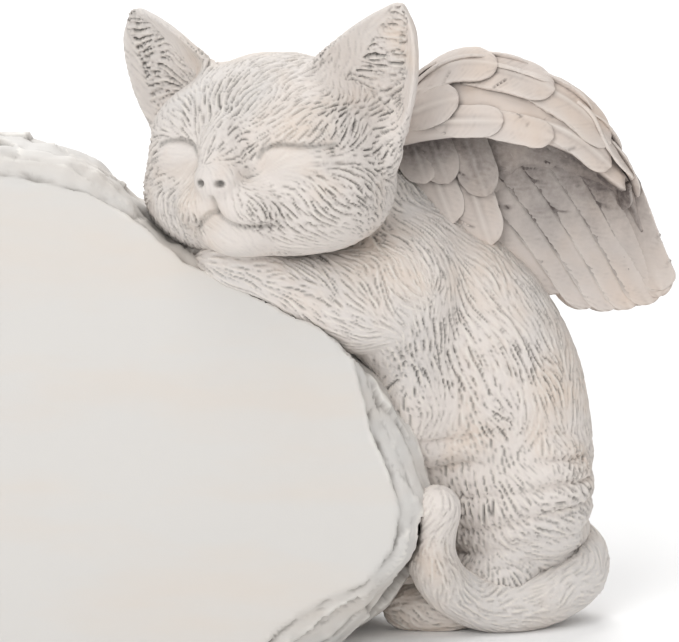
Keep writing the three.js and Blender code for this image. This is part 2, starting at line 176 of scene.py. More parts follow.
# ------------------------------------------------------------------------------------------- fields
@dataclass
class Field:
    """Numbers on a regular grid. As a distance field it is negative inside the solid."""

    values: np.ndarray
    first: np.ndarray  # grid index of the first value
    pitch: float

    @classmethod
    def of_surface(
        cls, points: np.ndarray, faces: np.ndarray, pitch: float, band: float, room: float = 0.0
    ) -> Field:
        """The distance field of one or more closed, possibly overlapping surfaces.

        Args:
            points: the surface's points in millimetres.
            faces: its triangles or quads.
            pitch: the grid's spacing.
            band: how far from the surface distances are kept.
            room: extra space around the surface, for what is added later.

        Returns:
            The field of everything that the surfaces enclose.
        """
        edge = int(math.ceil((band + room) / pitch)) + 1
        first = np.floor(points.min(0) / pitch).astype(int) - edge
        last = np.ceil(points.max(0) / pitch).astype(int) + edge
        result = cls(np.zeros(last - first + 1, np.float32), first, pitch)
        result.values = result.like(points, faces, band)
        return result

    def like(self, points: np.ndarray, faces: np.ndarray, band: float) -> np.ndarray:
        """The distances to another closed surface, on this field's own grid.

        Args:
            points: the surface's points in millimetres.
            faces: its triangles or quads.
            band: how far from the surface distances are kept.

        Returns:
            One distance for each grid place.
        """
        kind = "triangles" if faces.shape[1] == 3 else "quads"
        grid = vdb.FloatGrid.createLevelSetFromPolygons(
            points.astype(np.float32),
            transform=vdb.createLinearTransform(voxelSize=self.pitch),
            halfWidth=band / self.pitch,
            **{kind: faces.astype(np.uint32)},
        )
        values = np.zeros_like(self.values)
        grid.copyToArray(values, ijk=tuple(int(i) for i in self.first))
        return values

    def add(self, other: np.ndarray, fillet: float = 0.0) -> None:
        """Joins another solid to this one.

        Args:
            other: the other solid's distances on this grid.
            fillet: size of the fillet where the two meet, in millimetres.
        """
        joined = np.minimum(self.values, other)
        if fillet > 0:
            near = np.clip(1 - np.abs(self.values - other) / fillet, 0, 1)
            joined = joined - (0.25 * fillet * near**2).astype(np.float32)
        self.values = joined

    def filled_up(self, radius: float) -> Field:
        """The solid with its creases filled.

        Args:
            radius: the ball that fills every crease it can't reach into, in millimetres.

        Returns:
            The filled solid.
        """
        grown = Field(self.values - np.float32(radius), self.first, self.pitch).skin()
        band = radius + 4 * self.pitch
        return Field(self.like(grown.points, grown.quads, band) + np.float32(radius), self.first, self.pitch)

    def blurred(self, spread: float) -> Field:
        """The field after a Gaussian blur.

        Args:
            spread: the blur's standard deviation in millimetres.

        Returns:
            The blurred field.
        """
        sigma = spread / self.pitch
        reach = max(1, int(math.ceil(BLUR_REACH * sigma)))
        weights = np.exp(-0.5 * (np.arange(-reach, reach + 1) / sigma) ** 2)
        weights /= weights.sum()
        values = self.values
        for axis in range(3):
            pad = [(0, 0)] * 3
            pad[axis] = (reach, reach)
            padded = np.pad(values, pad, mode="edge")
            total = np.zeros_like(values)
            for i, weight in enumerate(weights):
                part = [slice(None)] * 3
                part[axis] = slice(i, i + values.shape[axis])
                total += np.float32(weight) * padded[tuple(part)]
            values = total
        return Field(values, self.first, self.pitch)

    def at(self, points: np.ndarray) -> np.ndarray:
        """The field's values between its own grid places.

        Args:
            points: places in millimetres.

        Returns:
            One value a point.
        """
        place = points / self.pitch - self.first
        place = np.clip(place, 0, np.array(self.values.shape) - 1.001)
        low = place.astype(int)
        return blended(self.values, low, (place - low).astype(np.float32))

    def centres(self) -> np.ndarray:
        """The place of every grid value, as an array of the grid's shape by three."""
        axes = [(np.arange(n) + f) * self.pitch for n, f in zip(self.values.shape, self.first)]
        return np.stack(np.meshgrid(*axes, indexing="ij"), axis=-1).astype(np.float32)

    def skin(self) -> Skin:
        """The surface where the field is zero.

        Returns:
            A mesh of quads.
        """
        grid = vdb.FloatGrid(float(self.values.max()))
        grid.copyFromArray(self.values, ijk=tuple(int(i) for i in self.first))
        grid.transform = vdb.createLinearTransform(voxelSize=self.pitch)
        points, quads = grid.convertToQuads(isovalue=0.0)
        return Skin(points.astype(np.float32), quads.astype(np.int64))


# The grain's cells stand askew, so that no stroke runs along a row of them.
ASKEW = Matrix.Rotation(0.9, 3, "X") @ Matrix.Rotation(0.6, 3, "Y") @ Matrix.Rotation(0.4, 3, "Z")
LATTICE = np.array(ASKEW)


@dataclass
class Grain:
    """Seeded random numbers in space that repeat far away."""

    seed: int
    cells: int = 56
    table: np.ndarray = field(init=False)

    def __post_init__(self) -> None:
        """Draws the numbers."""
        shape = (self.cells,) * 3
        self.table = np.random.default_rng(self.seed).standard_normal(shape).astype(np.float32)

    def at(self, points: np.ndarray, size: float, soft: bool = False) -> np.ndarray:
        """Noise at each point.

        Args:
            points: places in millimetres.
            size: the grain's size in millimetres.
            soft: round the blending between grains.

        Returns:
            One number a point, around zero.
        """
        place = points @ LATTICE / size
        low = np.floor(place).astype(np.int64)
        share = (place - low).astype(np.float32)
        if soft:
            share = share * share * (3 - 2 * share)
        return blended(self.table, low, share)


def egg(places: np.ndarray, centre: tuple[float, ...], radii: tuple[float, ...]) -> np.ndarray:
    """About how far each place lies outside an ellipsoid.

    Args:
        places: points in millimetres.
        centre: the ellipsoid's centre.
        radii: its three radii.

    Returns:
        One distance a place, negative inside.
    """
    offset = places - np.array(centre, np.float32)
    size = np.array(radii, np.float32)
    share = np.linalg.norm(offset / size, axis=-1)
    return share * (share - 1) / np.maximum(np.linalg.norm(offset / size**2, axis=-1), 1e-6)


# ------------------------------------------------------------------------------------------- skins
@dataclass
class Skin:
    """A mesh of quads that is being carved."""

    points: np.ndarray
    quads: np.ndarray

    def normals(self) -> np.ndarray:
        """The outward normals, weighted by the size of the quads around each point.

        Returns:
            One unit vector a point.
        """
        corner = self.points[self.quads]
        faces = np.cross(corner[:, 2] - corner[:, 0], corner[:, 3] - corner[:, 1])
        total = np.zeros_like(self.points)
        for axis in range(3):
            spread = np.repeat(faces[:, axis], 4)
            total[:, axis] = np.bincount(self.quads.ravel(), spread, len(self.points))
        return unit(total)

    def push(self, distance: np.ndarray) -> None:
        """Moves every point along its normal by its own distance."""
        self.points = self.points + self.normals() * distance[:, None].astype(np.float32)

    def relaxed(self, values: np.ndarray, rounds: int) -> np.ndarray:
        """Values evened out with their neighbours.

        Args:
            values: one number a point.
            rounds: how many times they are evened out.

        Returns:
            The calmer values.
        """
        a = self.quads.ravel()
        b = np.roll(self.quads, -1, axis=1).ravel()
        count = np.bincount(a, minlength=len(self.points)) + np.bincount(b, minlength=len(self.points))
        for _ in range(rounds):
            total = np.bincount(a, values[b], len(self.points)) + np.bincount(b, values[a], len(self.points))
            values = 0.5 * values + 0.5 * total / np.maximum(count, 1)
        return values

    def to_object(self, name: str, layers: dict[str, np.ndarray]) -> bpy.types.Object:
        """A Blender object of this skin.

        Args:
            name: the object's name.
            layers: numbers to keep on the points, by attribute name.

        Returns:
            The object, linked into the scene.
        """
        mesh = bpy.data.meshes.new(name)
        mesh.vertices.add(len(self.points))
        mesh.vertices.foreach_set("co", (self.points / MM).astype(np.float32).ravel())
        mesh.loops.add(self.quads.size)
        mesh.loops.foreach_set("vertex_index", self.quads.astype(np.int32).ravel())
        mesh.polygons.add(len(self.quads))
        mesh.polygons.foreach_set("loop_start", np.arange(0, self.quads.size, 4, dtype=np.int32))
        mesh.update(calc_edges=True)
        mesh.shade_smooth()
        for layer, values in layers.items():
            mesh.attributes.new(layer, "FLOAT", "POINT").data.foreach_set("value", values.astype(np.float32))
        result = bpy.data.objects.new(name, mesh)
        bpy.context.scene.collection.objects.link(result)
        return result


@dataclass
class Crevices:
    """How deep each place sits among all the castings, which sets the painted shade in crevices and where the
    castings meet.
    """

    filled: Field

    @classmethod
    def among(cls, nodes: list[bpy.types.Object], pitch: float, spread: float) -> Crevices:
        """Measures the crevices of a group of castings.

        Args:
            nodes: the CAD solids.
            pitch: the grid's spacing in millimetres.
            spread: how far the crowding of other surfaces is felt.

        Returns:
            The share of solid around every place.
        """
        meshes = [node_mesh(node) for node in nodes]
        shift = np.cumsum([0] + [len(points) for points, _ in meshes[:-1]])
        points = np.concatenate([points for points, _ in meshes])
        triangles = np.concatenate([faces + s for (_, faces), s in zip(meshes, shift)])
        return cls.within(points, triangles, pitch, spread)

    @classmethod
    def within(cls, points: np.ndarray, faces: np.ndarray, pitch: float, spread: float) -> Crevices:
        """Measures the crevices of one closed mesh, whose parts may overlap.

        Args:
            points: the mesh's points in millimetres.
            faces: its triangles or quads.
            pitch: the grid's spacing in millimetres.
            spread: how far the crowding of other surfaces is felt.

        Returns:
            The share of solid around every place.
        """
        solid = Field.of_surface(points, faces, pitch, 4 * pitch)
        solid.values = (solid.values < 0).astype(np.float32)
        return cls(solid.blurred(spread))

    def at(self, points: np.ndarray, normals: np.ndarray) -> np.ndarray:
        """How enclosed each point is, 0 in the open and 1 in a deep crevice."""
        return smoothstep(0.5, 0.84, self.filled.at(points + 0.8 * normals))


def curve(knots: np.ndarray, u: np.ndarray) -> np.ndarray:
    """Points on a smooth curve through a few knots.

    Args:
        knots: the places that the curve passes.
        u: how far along the curve each point is, 0 to 1.

    Returns:
        One point for each u.
    """
    u = np.clip(u, 0, 1) * (len(knots) - 1)
    i = np.clip(u.astype(int), 0, len(knots) - 2)
    t = (u - i)[:, None]
    wide = np.concatenate([[2 * knots[0] - knots[1]], knots, [2 * knots[-1] - knots[-2]]])
    a, b, c, d = wide[i], wide[i + 1], wide[i + 2], wide[i + 3]
    return 0.5 * (2 * b + (c - a) * t + (2 * a - 5 * b + 4 * c - d) * t**2 + (3 * b - a - 3 * c + d) * t**3)


def closed_sheet(
    upper: np.ndarray, lower: np.ndarray, rows: int, columns: int
) -> tuple[np.ndarray, np.ndarray]:
    """A closed quad mesh between two grids of points.

    Args:
        upper: points of the upper side, row by row.
        lower: points of the lower side, in the same order.
        rows: how many rows there are.
        columns: how many points a row has.

    Returns:
        The mesh's points and quads.
    """
    index = np.arange(rows * columns).reshape(rows, columns)
    over = np.stack([index[:-1, :-1], index[1:, :-1], index[1:, 1:], index[:-1, 1:]], -1).reshape(-1, 4)
    under = over[:, ::-1] + rows * columns
    rim = np.concatenate([index[:, 0], index[-1, 1:], index[-2::-1, -1], index[0, -2:0:-1]])
    following = np.roll(rim, -1)
    wall = np.stack([rim, rim + rows * columns, following + rows * columns, following], -1)
    return np.concatenate([upper, lower]), np.concatenate([over, under, wall])


# ------------------------------------------------------------------------------------------- fur
@dataclass(frozen=True)
class Guide:
    """One stroke of the comb: where it is, as shares of the casting's box, and which way the hair runs."""

    place: tuple[float, float, float]
    way: tuple[float, float, float]
    reach: float = 1.0


@dataclass
class Comb:
    """The lie of the fur over one casting, blended between a few guide strokes."""

    guides: list[Guide]
    low: np.ndarray
    high: np.ndarray

    def along(self, points: np.ndarray, normals: np.ndarray) -> np.ndarray:
        """The lie of the hair along the surface.

        Args:
            points: places in millimetres.
            normals: the surface's normals there.

        Returns:
            One unit vector a point.
        """
        size = self.high - self.low
        total = np.zeros_like(points)
        for guide in self.guides:
            centre = self.low + np.array(guide.place) * size
            distance = np.linalg.norm(points - centre, axis=1) / guide.reach
            weight = 1.0 / (distance**2 + 9.0) ** 1.5
            total += weight[:, None] * unit(np.array(guide.way))
        total -= np.einsum("ij,ij->i", total, normals)[:, None] * normals
        return unit(total)


@dataclass
class Chisel:
    """The tool that cuts fur: many short strokes side by side."""

    seed: int
    spacing: float = 1.0  # mm from one stroke to the next
    length: float = 6.5  # mm
    sway: float = 0.5  # radians that the strokes wander
    sway_size: float = 7.0  # mm over which they wander

    def cut(self, points: np.ndarray, normals: np.ndarray, lie: np.ndarray) -> np.ndarray:
        """The pattern of strokes, about -2 in a groove and +2 on a ridge.

        Args:
            points: places in millimetres.
            normals: the surface's normals there.
            lie: the direction of the hair there.

        Returns:
            The height of the pattern at each point, without a unit.
        """
        grain = Grain(self.seed)
        side = np.cross(normals, lie)
        turn = self.sway * grain.at(points, self.sway_size, soft=True)[:, None]
        way = lie * np.cos(turn) + side * np.sin(turn)
        pattern = self._strokes(grain, points, way, 0.42 * self.spacing, 0.5 * self.length)
        broad = self._strokes(grain, points + 91.0, way, 1.1 * self.spacing, 0.7 * self.length)
        mixed = pattern + 0.12 * broad
        return (mixed / max(float(mixed.std()), 1e-6)).astype(np.float32)

    @staticmethod
    def _strokes(grain: Grain, points: np.ndarray, way: np.ndarray, size: float, reach: float) -> np.ndarray:
        """Noise smeared along the hair.

        Args:
            grain: the noise.
            points: places in millimetres.
            way: the direction of the hair there.
            size: how wide a stroke is.
            reach: half of its length.

        Returns:
            The height at each point, with a spread of one.
        """
        total = np.zeros(len(points), np.float32)
        for share in np.linspace(-1, 1, 13):
            total += (1 - 0.85 * share**2) * grain.at(points + way * (share * reach), size)
        return total / max(float(total.std()), 1e-6)


@dataclass
class FurCasting:
    """A casting of carved fur made from one CAD node."""

    node: str
    seed: int
    pitch: float = 0.42  # mm between points of the mesh
    soften: float = 1.1  # mm that the CAD solid's edges are rounded by
    guides: list[Guide] = field(default_factory=list)
    spacing: float = 1.0  # mm from one stroke to the next
    length: float = 6.5  # mm
    depth: float = 0.42  # mm
    grow: float = 0.3  # mm added all round, which softening and carving take away again
    reach: float = 0.0  # mm, how far from the surface clay may be added
    stain: float = 0.8  # how dark the wash in the strokes is
    ridge_rise: float = 0.45  # how far the ridges rise, as a share of the depth
    groove_sink: float = 1.35  # how far the grooves sink, as a share of the depth
    film: float = 0.0  # the thin film of wash left all over

    def form(self, frame: dict, pitch: float) -> Field:
        """The casting's softened shape before any stroke is cut.

        Args:
            pitch: the grid's spacing in millimetres.

        Returns:
            The shape's distance field.
        """
        points, triangles = node_mesh(frame["nodes"][self.node])
        band = max(3.0 * self.soften + 2.0, self.reach)
        solid = Field.of_surface(points, triangles, pitch, band, room=3.0)
        self.add_to(solid, frame)
        solid.values -= np.float32(self.grow)
        return solid.blurred(self.soften)

    def add_to(self, solid: Field, frame: dict) -> None:
        """Adds clay to the shape; a plain casting needs none."""

    def build(self, frame: dict, crevices: Crevices, finish: CastResin) -> bpy.types.Object:
        """Makes the casting and puts it in the place of its CAD node.

        Args:
            crevices: where painted shade darkens the paint.
            finish: the paint.

        Returns:
            The finished object.
        """
        pitch = self.pitch * 1.0
        soft = self.form(frame, pitch)
        skin = soft.skin()
        self.model(skin)
        normals = skin.normals()
        lie = self.lie(skin.points, normals)
        chisel = Chisel(self.seed, self.spacing, self.length)
        pattern = chisel.cut(skin.points, normals, lie)
        pattern -= skin.relaxed(pattern, 4)  # keeps the strokes and drops what is wider than they are
        pattern /= float(pattern.std())
        amount = self.amount(skin.points, normals)
        groove = smoothstep(0.1, 1.7, -pattern)
        line = smoothstep(0.55, 1.7, -pattern)
        ridge = smoothstep(0.1, 1.8, pattern)
        enclosed = crevices.at(skin.points, normals)
        crease = self.crease(skin, soft)
        skin.push(amount * self.depth * (self.ridge_rise * ridge - self.groove_sink * groove))
        stain = self.stain * (0.45 + 0.55 * self.staining(skin.points))
        wash = np.clip(line * np.clip(amount, 0, 1.4) * stain, 0, 1)
        # painted shade in the crevices between castings (enclosed) and in the folds (crease) is added to the
        # wash in the strokes
        wash = np.clip(wash + self.film + 0.6 * enclosed + crease, 0, 1)
        brush = np.clip(ridge * (1 - enclosed) * (0.4 + 0.6 * np.clip(amount, 0, 1)), 0, 1)
        skin.points[:, 2] = np.maximum(skin.points[:, 2], 0.0)
        made = skin.to_object(f"{self.node}_cast", {WASH_AND_SHADE: wash, BRUSH: brush})
        finish.dress(made)
        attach(made, "root")
        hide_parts(self.node)
        return made

    def lie(self, points: np.ndarray, normals: np.ndarray) -> np.ndarray:
        """The direction of the hair, from the guide strokes."""
        low, high = node_box(self.node)
        return Comb(self.guides, low, high).along(points, normals)

    def model(self, skin: Skin) -> None:
        """Large features that the knife makes before the fur; a plain casting has none."""

    def staining(self, points: np.ndarray) -> np.ndarray:
        """How much of the wash was left in the strokes at each point, in patches."""
        return smoothstep(-0.6, 1.1, Grain(self.seed + 7).at(points, 10.0, soft=True))

    def amount(self, points: np.ndarray, normals: np.ndarray) -> np.ndarray:
        """How deep the fur is cut at each point, around one."""
        patches = Grain(self.seed + 5).at(points, 9.0, soft=True)
        return np.clip(0.9 + 0.35 * patches, 0.25, 1.5)

    def crease(self, skin: Skin, soft: Field) -> np.ndarray:
        """Painted shade, with some wash, in the folds of the form, from how much the form caves in there."""
        wide = soft.blurred(1.6).at(skin.points) - soft.at(skin.points)
        return 0.7 * smoothstep(0.12, 0.7, -wide)


# ------------------------------------------------------------------------------------------- finishes
def linear(code: str) -> tuple[float, float, float, float]:
    """An sRGB hex value as linear red, green, blue and alpha."""
    parts = [int(code[i : i + 2], 16) / 255 for i in (1, 3, 5)]
    return (*[c / 12.92 if c <= 0.04045 else ((c + 0.055) / 1.055) ** 2.4 for c in parts], 1.0)


def add_node(
    tree: bpy.types.NodeTree,
    kind: str,
    settings: dict[str, object] | None = None,
    links: dict[str | int, bpy.types.NodeSocket] | None = None,
) -> bpy.types.Node:
    """Adds a shader node.

    Args:
        tree: the material's node tree.
        kind: the node's type name.
        settings: values of the node's own settings, or of its input sockets by name or number.
        links: sockets of other nodes to join to this one's inputs, by name or number.

    Returns:
        The new node.
    """
    node = tree.nodes.new(kind)
    for name, value in (settings or {}).items():
        if isinstance(name, str) and hasattr(node, name):
            setattr(node, name, value)
        else:
            node.inputs[name].default_value = value
    for name, socket in (links or {}).items():
        tree.links.new(socket, node.inputs[name])
    return node


@dataclass(frozen=True)
class CastResin:
    """Polyester resin filled with stone powder, cast in silicone, painted matt, washed dark and dry-brushed.

    The fill makes it dull like unglazed clay, the wash stays grey in the carving, painted shade darkens the
    crevices, folds and the wings' undersides, and the dry brush leaves the ridges chalky.
    """

    name: str
    coat: str  # the paint
    warm: str  # ochre tint left in places
    cool: str  # grey tint left in places
    glaze_and_shade: str  # the dark wash, also the colour of the painted shade
    chalk: str  # the dry-brushed coat
    patch: float = 26.0  # mm across a tinted patch
    stretch: tuple[float, float, float] = (1.0, 1.0, 1.0)
    warm_share: float = 0.5
    cool_share: float = 0.4
    roughness: float = 0.74
    speckle: float = 1.6  # mm
    grit: float = 0.35  # mm, the grain of the filled paint, drawn a little coarse so that it shows
    grit_height: float = 0.02  # mm
    ior: float = 1.5

    def dress(self, piece: bpy.types.Object) -> None:
        """Gives the finish to a piece.

        Args:
            piece: the object to paint.
        """
        material = bpy.data.materials.get(self.name) or self._make()
        piece.data.materials.clear()
        piece.data.materials.append(material)

    def _make(self) -> bpy.types.Material:
        """Builds the material.

        Returns:
            The new material.
        """
        material = bpy.data.materials.new(self.name)
        material.use_nodes = True
        tree = material.node_tree
        tree.nodes.clear()
        place = add_node(tree, "ShaderNodeTexCoord").outputs["Object"]
        speckle = self._noise(tree, place, self.speckle, 3.0, 0.65)
        grit = self._noise(tree, place, self.grit, 2.0, 0.6)
        height = 2 * self.grit_height / MM
        bump = add_node(tree, "ShaderNodeBump", {"Strength": 1.0, "Distance": height}, {"Height": grit})
        dull = add_node(
            tree,
            "ShaderNodeMapRange",
            {"To Min": self.roughness - 0.06, "To Max": self.roughness + 0.1},
            {"Value": speckle},
        )
        surface = add_node(
            tree,
            "ShaderNodeBsdfPrincipled",
            {"IOR": self.ior, "Metallic": 0.0, "Specular IOR Level": 0.35},
            {
                "Base Color": self._colour(tree, place, speckle),
                "Roughness": dull.outputs[0],
                "Normal": bump.outputs[0],
            },
        )
        add_node(tree, "ShaderNodeOutputMaterial", {}, {"Surface": surface.outputs[0]})
        return material

    def _colour(
        self, tree: bpy.types.NodeTree, place: bpy.types.NodeSocket, speckle: bpy.types.NodeSocket
    ) -> bpy.types.NodeSocket:
        """The coat with its tints, then the dry brush on the ridges, then the glaze in the carving and the
        painted shade.

        Args:
            tree: the material's node tree.
            place: the point that is coloured.
            speckle: fine noise that breaks the glaze up.

        Returns:
            The colour.
        """
        drawn = add_node(
            tree, "ShaderNodeVectorMath", {"operation": "MULTIPLY", 1: Vector(self.stretch)}, {0: place}
        ).outputs[0]
        ochre = self._noise(tree, drawn, self.patch, 4.0, 0.55)
        grey = self._noise(tree, drawn, self.patch / 0.7, 3.0, 0.5, distortion=0.6)
        warm = self._ramp(tree, ochre, (0.48, 0.68), (0.0, self.warm_share))
        cool = self._ramp(tree, grey, (0.46, 0.66), (0.0, self.cool_share))
        broken = self._ramp(tree, speckle, (0.3, 0.7), (0.75, 1.1))
        brush = add_node(tree, "ShaderNodeAttribute", {"attribute_name": BRUSH}).outputs["Fac"]
        wash = add_node(tree, "ShaderNodeAttribute", {"attribute_name": WASH_AND_SHADE}).outputs["Fac"]
        glaze_and_shade_share = add_node(
            tree, "ShaderNodeMath", {"operation": "MULTIPLY", "use_clamp": True}, {0: wash, 1: broken}
        ).outputs[0]
        colour = add_node(
            tree,
            "ShaderNodeMix",
            {"data_type": "RGBA", 6: linear(self.coat), 7: linear(self.warm)},
            {0: warm},
        ).outputs[2]
        for paint, share in ((self.cool, cool), (self.chalk, brush), (self.glaze_and_shade, glaze_and_shade_share)):
            colour = add_node(
                tree, "ShaderNodeMix", {"data_type": "RGBA", 7: linear(paint)}, {0: share, 6: colour}
            ).outputs[2]
        return colour

    @staticmethod
    def _noise(
        tree: bpy.types.NodeTree,
        place: bpy.types.NodeSocket,
        size: float,
        detail: float,
        roughness: float,
        distortion: float = 0.0,
    ) -> bpy.types.NodeSocket:
        """Noise in the paint.

        Args:
            tree: the material's node tree.
            place: the point that is painted.
            size: about how large a patch is, in millimetres.
            detail: how many finer layers it has.
            roughness: how strong those layers are.
            distortion: how much it is swirled.

        Returns:
            The noise, 0 to 1.
        """
        settings = {"Scale": MM / size, "Detail": detail, "Roughness": roughness, "Distortion": distortion}
        return add_node(tree, "ShaderNodeTexNoise", settings, {"Vector": place}).outputs["Fac"]

    @staticmethod
    def _ramp(
        tree: bpy.types.NodeTree,
        value: bpy.types.NodeSocket,
        taken: tuple[float, float],
        given: tuple[float, float],
    ) -> bpy.types.NodeSocket:
        """Maps one stretch of a value onto another.

        Args:
            tree: the material's node tree.
            value: the value.
            taken: the stretch it is read over.
            given: what the two ends of that stretch become.

        Returns:
            The mapped value.
        """
        ends = {"From Min": taken[0], "From Max": taken[1], "To Min": given[0], "To Max": given[1]}
        return add_node(tree, "ShaderNodeMapRange", ends, {"Value": value}).outputs[0]


@dataclass(frozen=True)
class CutSteel:
    """Mild steel wire, cut to length and left bare: grey, with fine drawing lines along it."""

    name: str = "drawn_steel_wire"
    colour: str = "#A9ABAE"
    roughness: float = 0.38
    line: float = 0.4  # mm between drawing lines

    def dress(self, piece: bpy.types.Object) -> None:
        """Gives the finish to a piece.

        Args:
            piece: the object to dress.
        """
        material = bpy.data.materials.get(self.name) or bpy.data.materials.new(self.name)
        if not piece.data.materials or piece.data.materials[0] != material:
            material.use_nodes = True
            tree = material.node_tree
            tree.nodes.clear()
            place = add_node(tree, "ShaderNodeTexCoord").outputs["Object"]
            settings = {"Scale": MM / self.line, "Detail": 2.0}
            lines = add_node(tree, "ShaderNodeTexNoise", settings, {"Vector": place})
            dull = add_node(
                tree,
                "ShaderNodeMapRange",
                {"To Min": self.roughness - 0.08, "To Max": self.roughness + 0.12},
                {"Value": lines.outputs["Fac"]},
            )
            surface = add_node(
                tree,
                "ShaderNodeBsdfPrincipled",
                {"Base Color": linear(self.colour), "Metallic": 1.0},
                {"Roughness": dull.outputs[0]},
            )
            add_node(tree, "ShaderNodeOutputMaterial", {}, {"Surface": surface.outputs[0]})
            piece.data.materials.clear()
            piece.data.materials.append(material)


# Warm off-white fur: ochre patches where the paint was rubbed, grey in the strokes
FUR = CastResin(
    "cast_resin_fur",
    coat="#E3DBD5",
    warm="#DEC6AE",
    cool="#C9C9C8",
    glaze_and_shade="#7C7975",
    chalk="#E9E2DA",
    warm_share=0.55,
)
# The wings are a little pinker and darker, and their wash and painted shade are browner
FEATHER = CastResin(
    "cast_resin_feather",
    coat="#D9CEC6",
    warm="#D8BFA8",
    cool="#BEBAB8",
    glaze_and_shade="#625956",
    chalk="#E9E2DB",
    patch=22.0,
    warm_share=0.4,
)
# The stone is cooler and smoother, with faint level streaks
STONE = CastResin(
    "cast_resin_stone",
    coat="#D8D5D1",
    warm="#E0CDBA",
    cool="#D2D1CF",
    glaze_and_shade="#7C7670",
    chalk="#EDE9E3",
    patch=34.0,
    stretch=(0.45, 1.0, 1.9),
    warm_share=0.26,
    cool_share=0.12,
    roughness=0.66,
    grit_height=0.008,
)
STEEL = CutSteel()


# ------------------------------------------------------------------------------------------- head
Line = tuple[tuple[float, float], ...]  # places on the face, as x and z in millimetres


@dataclass(frozen=True)
class Clay:
    """An egg-shaped lump of modelling clay."""

    centre: tuple[float, float, float]
    radii: tuple[float, float, float]
    fillet: float = 4.0  # mm, where it is smoothed into what it lies on


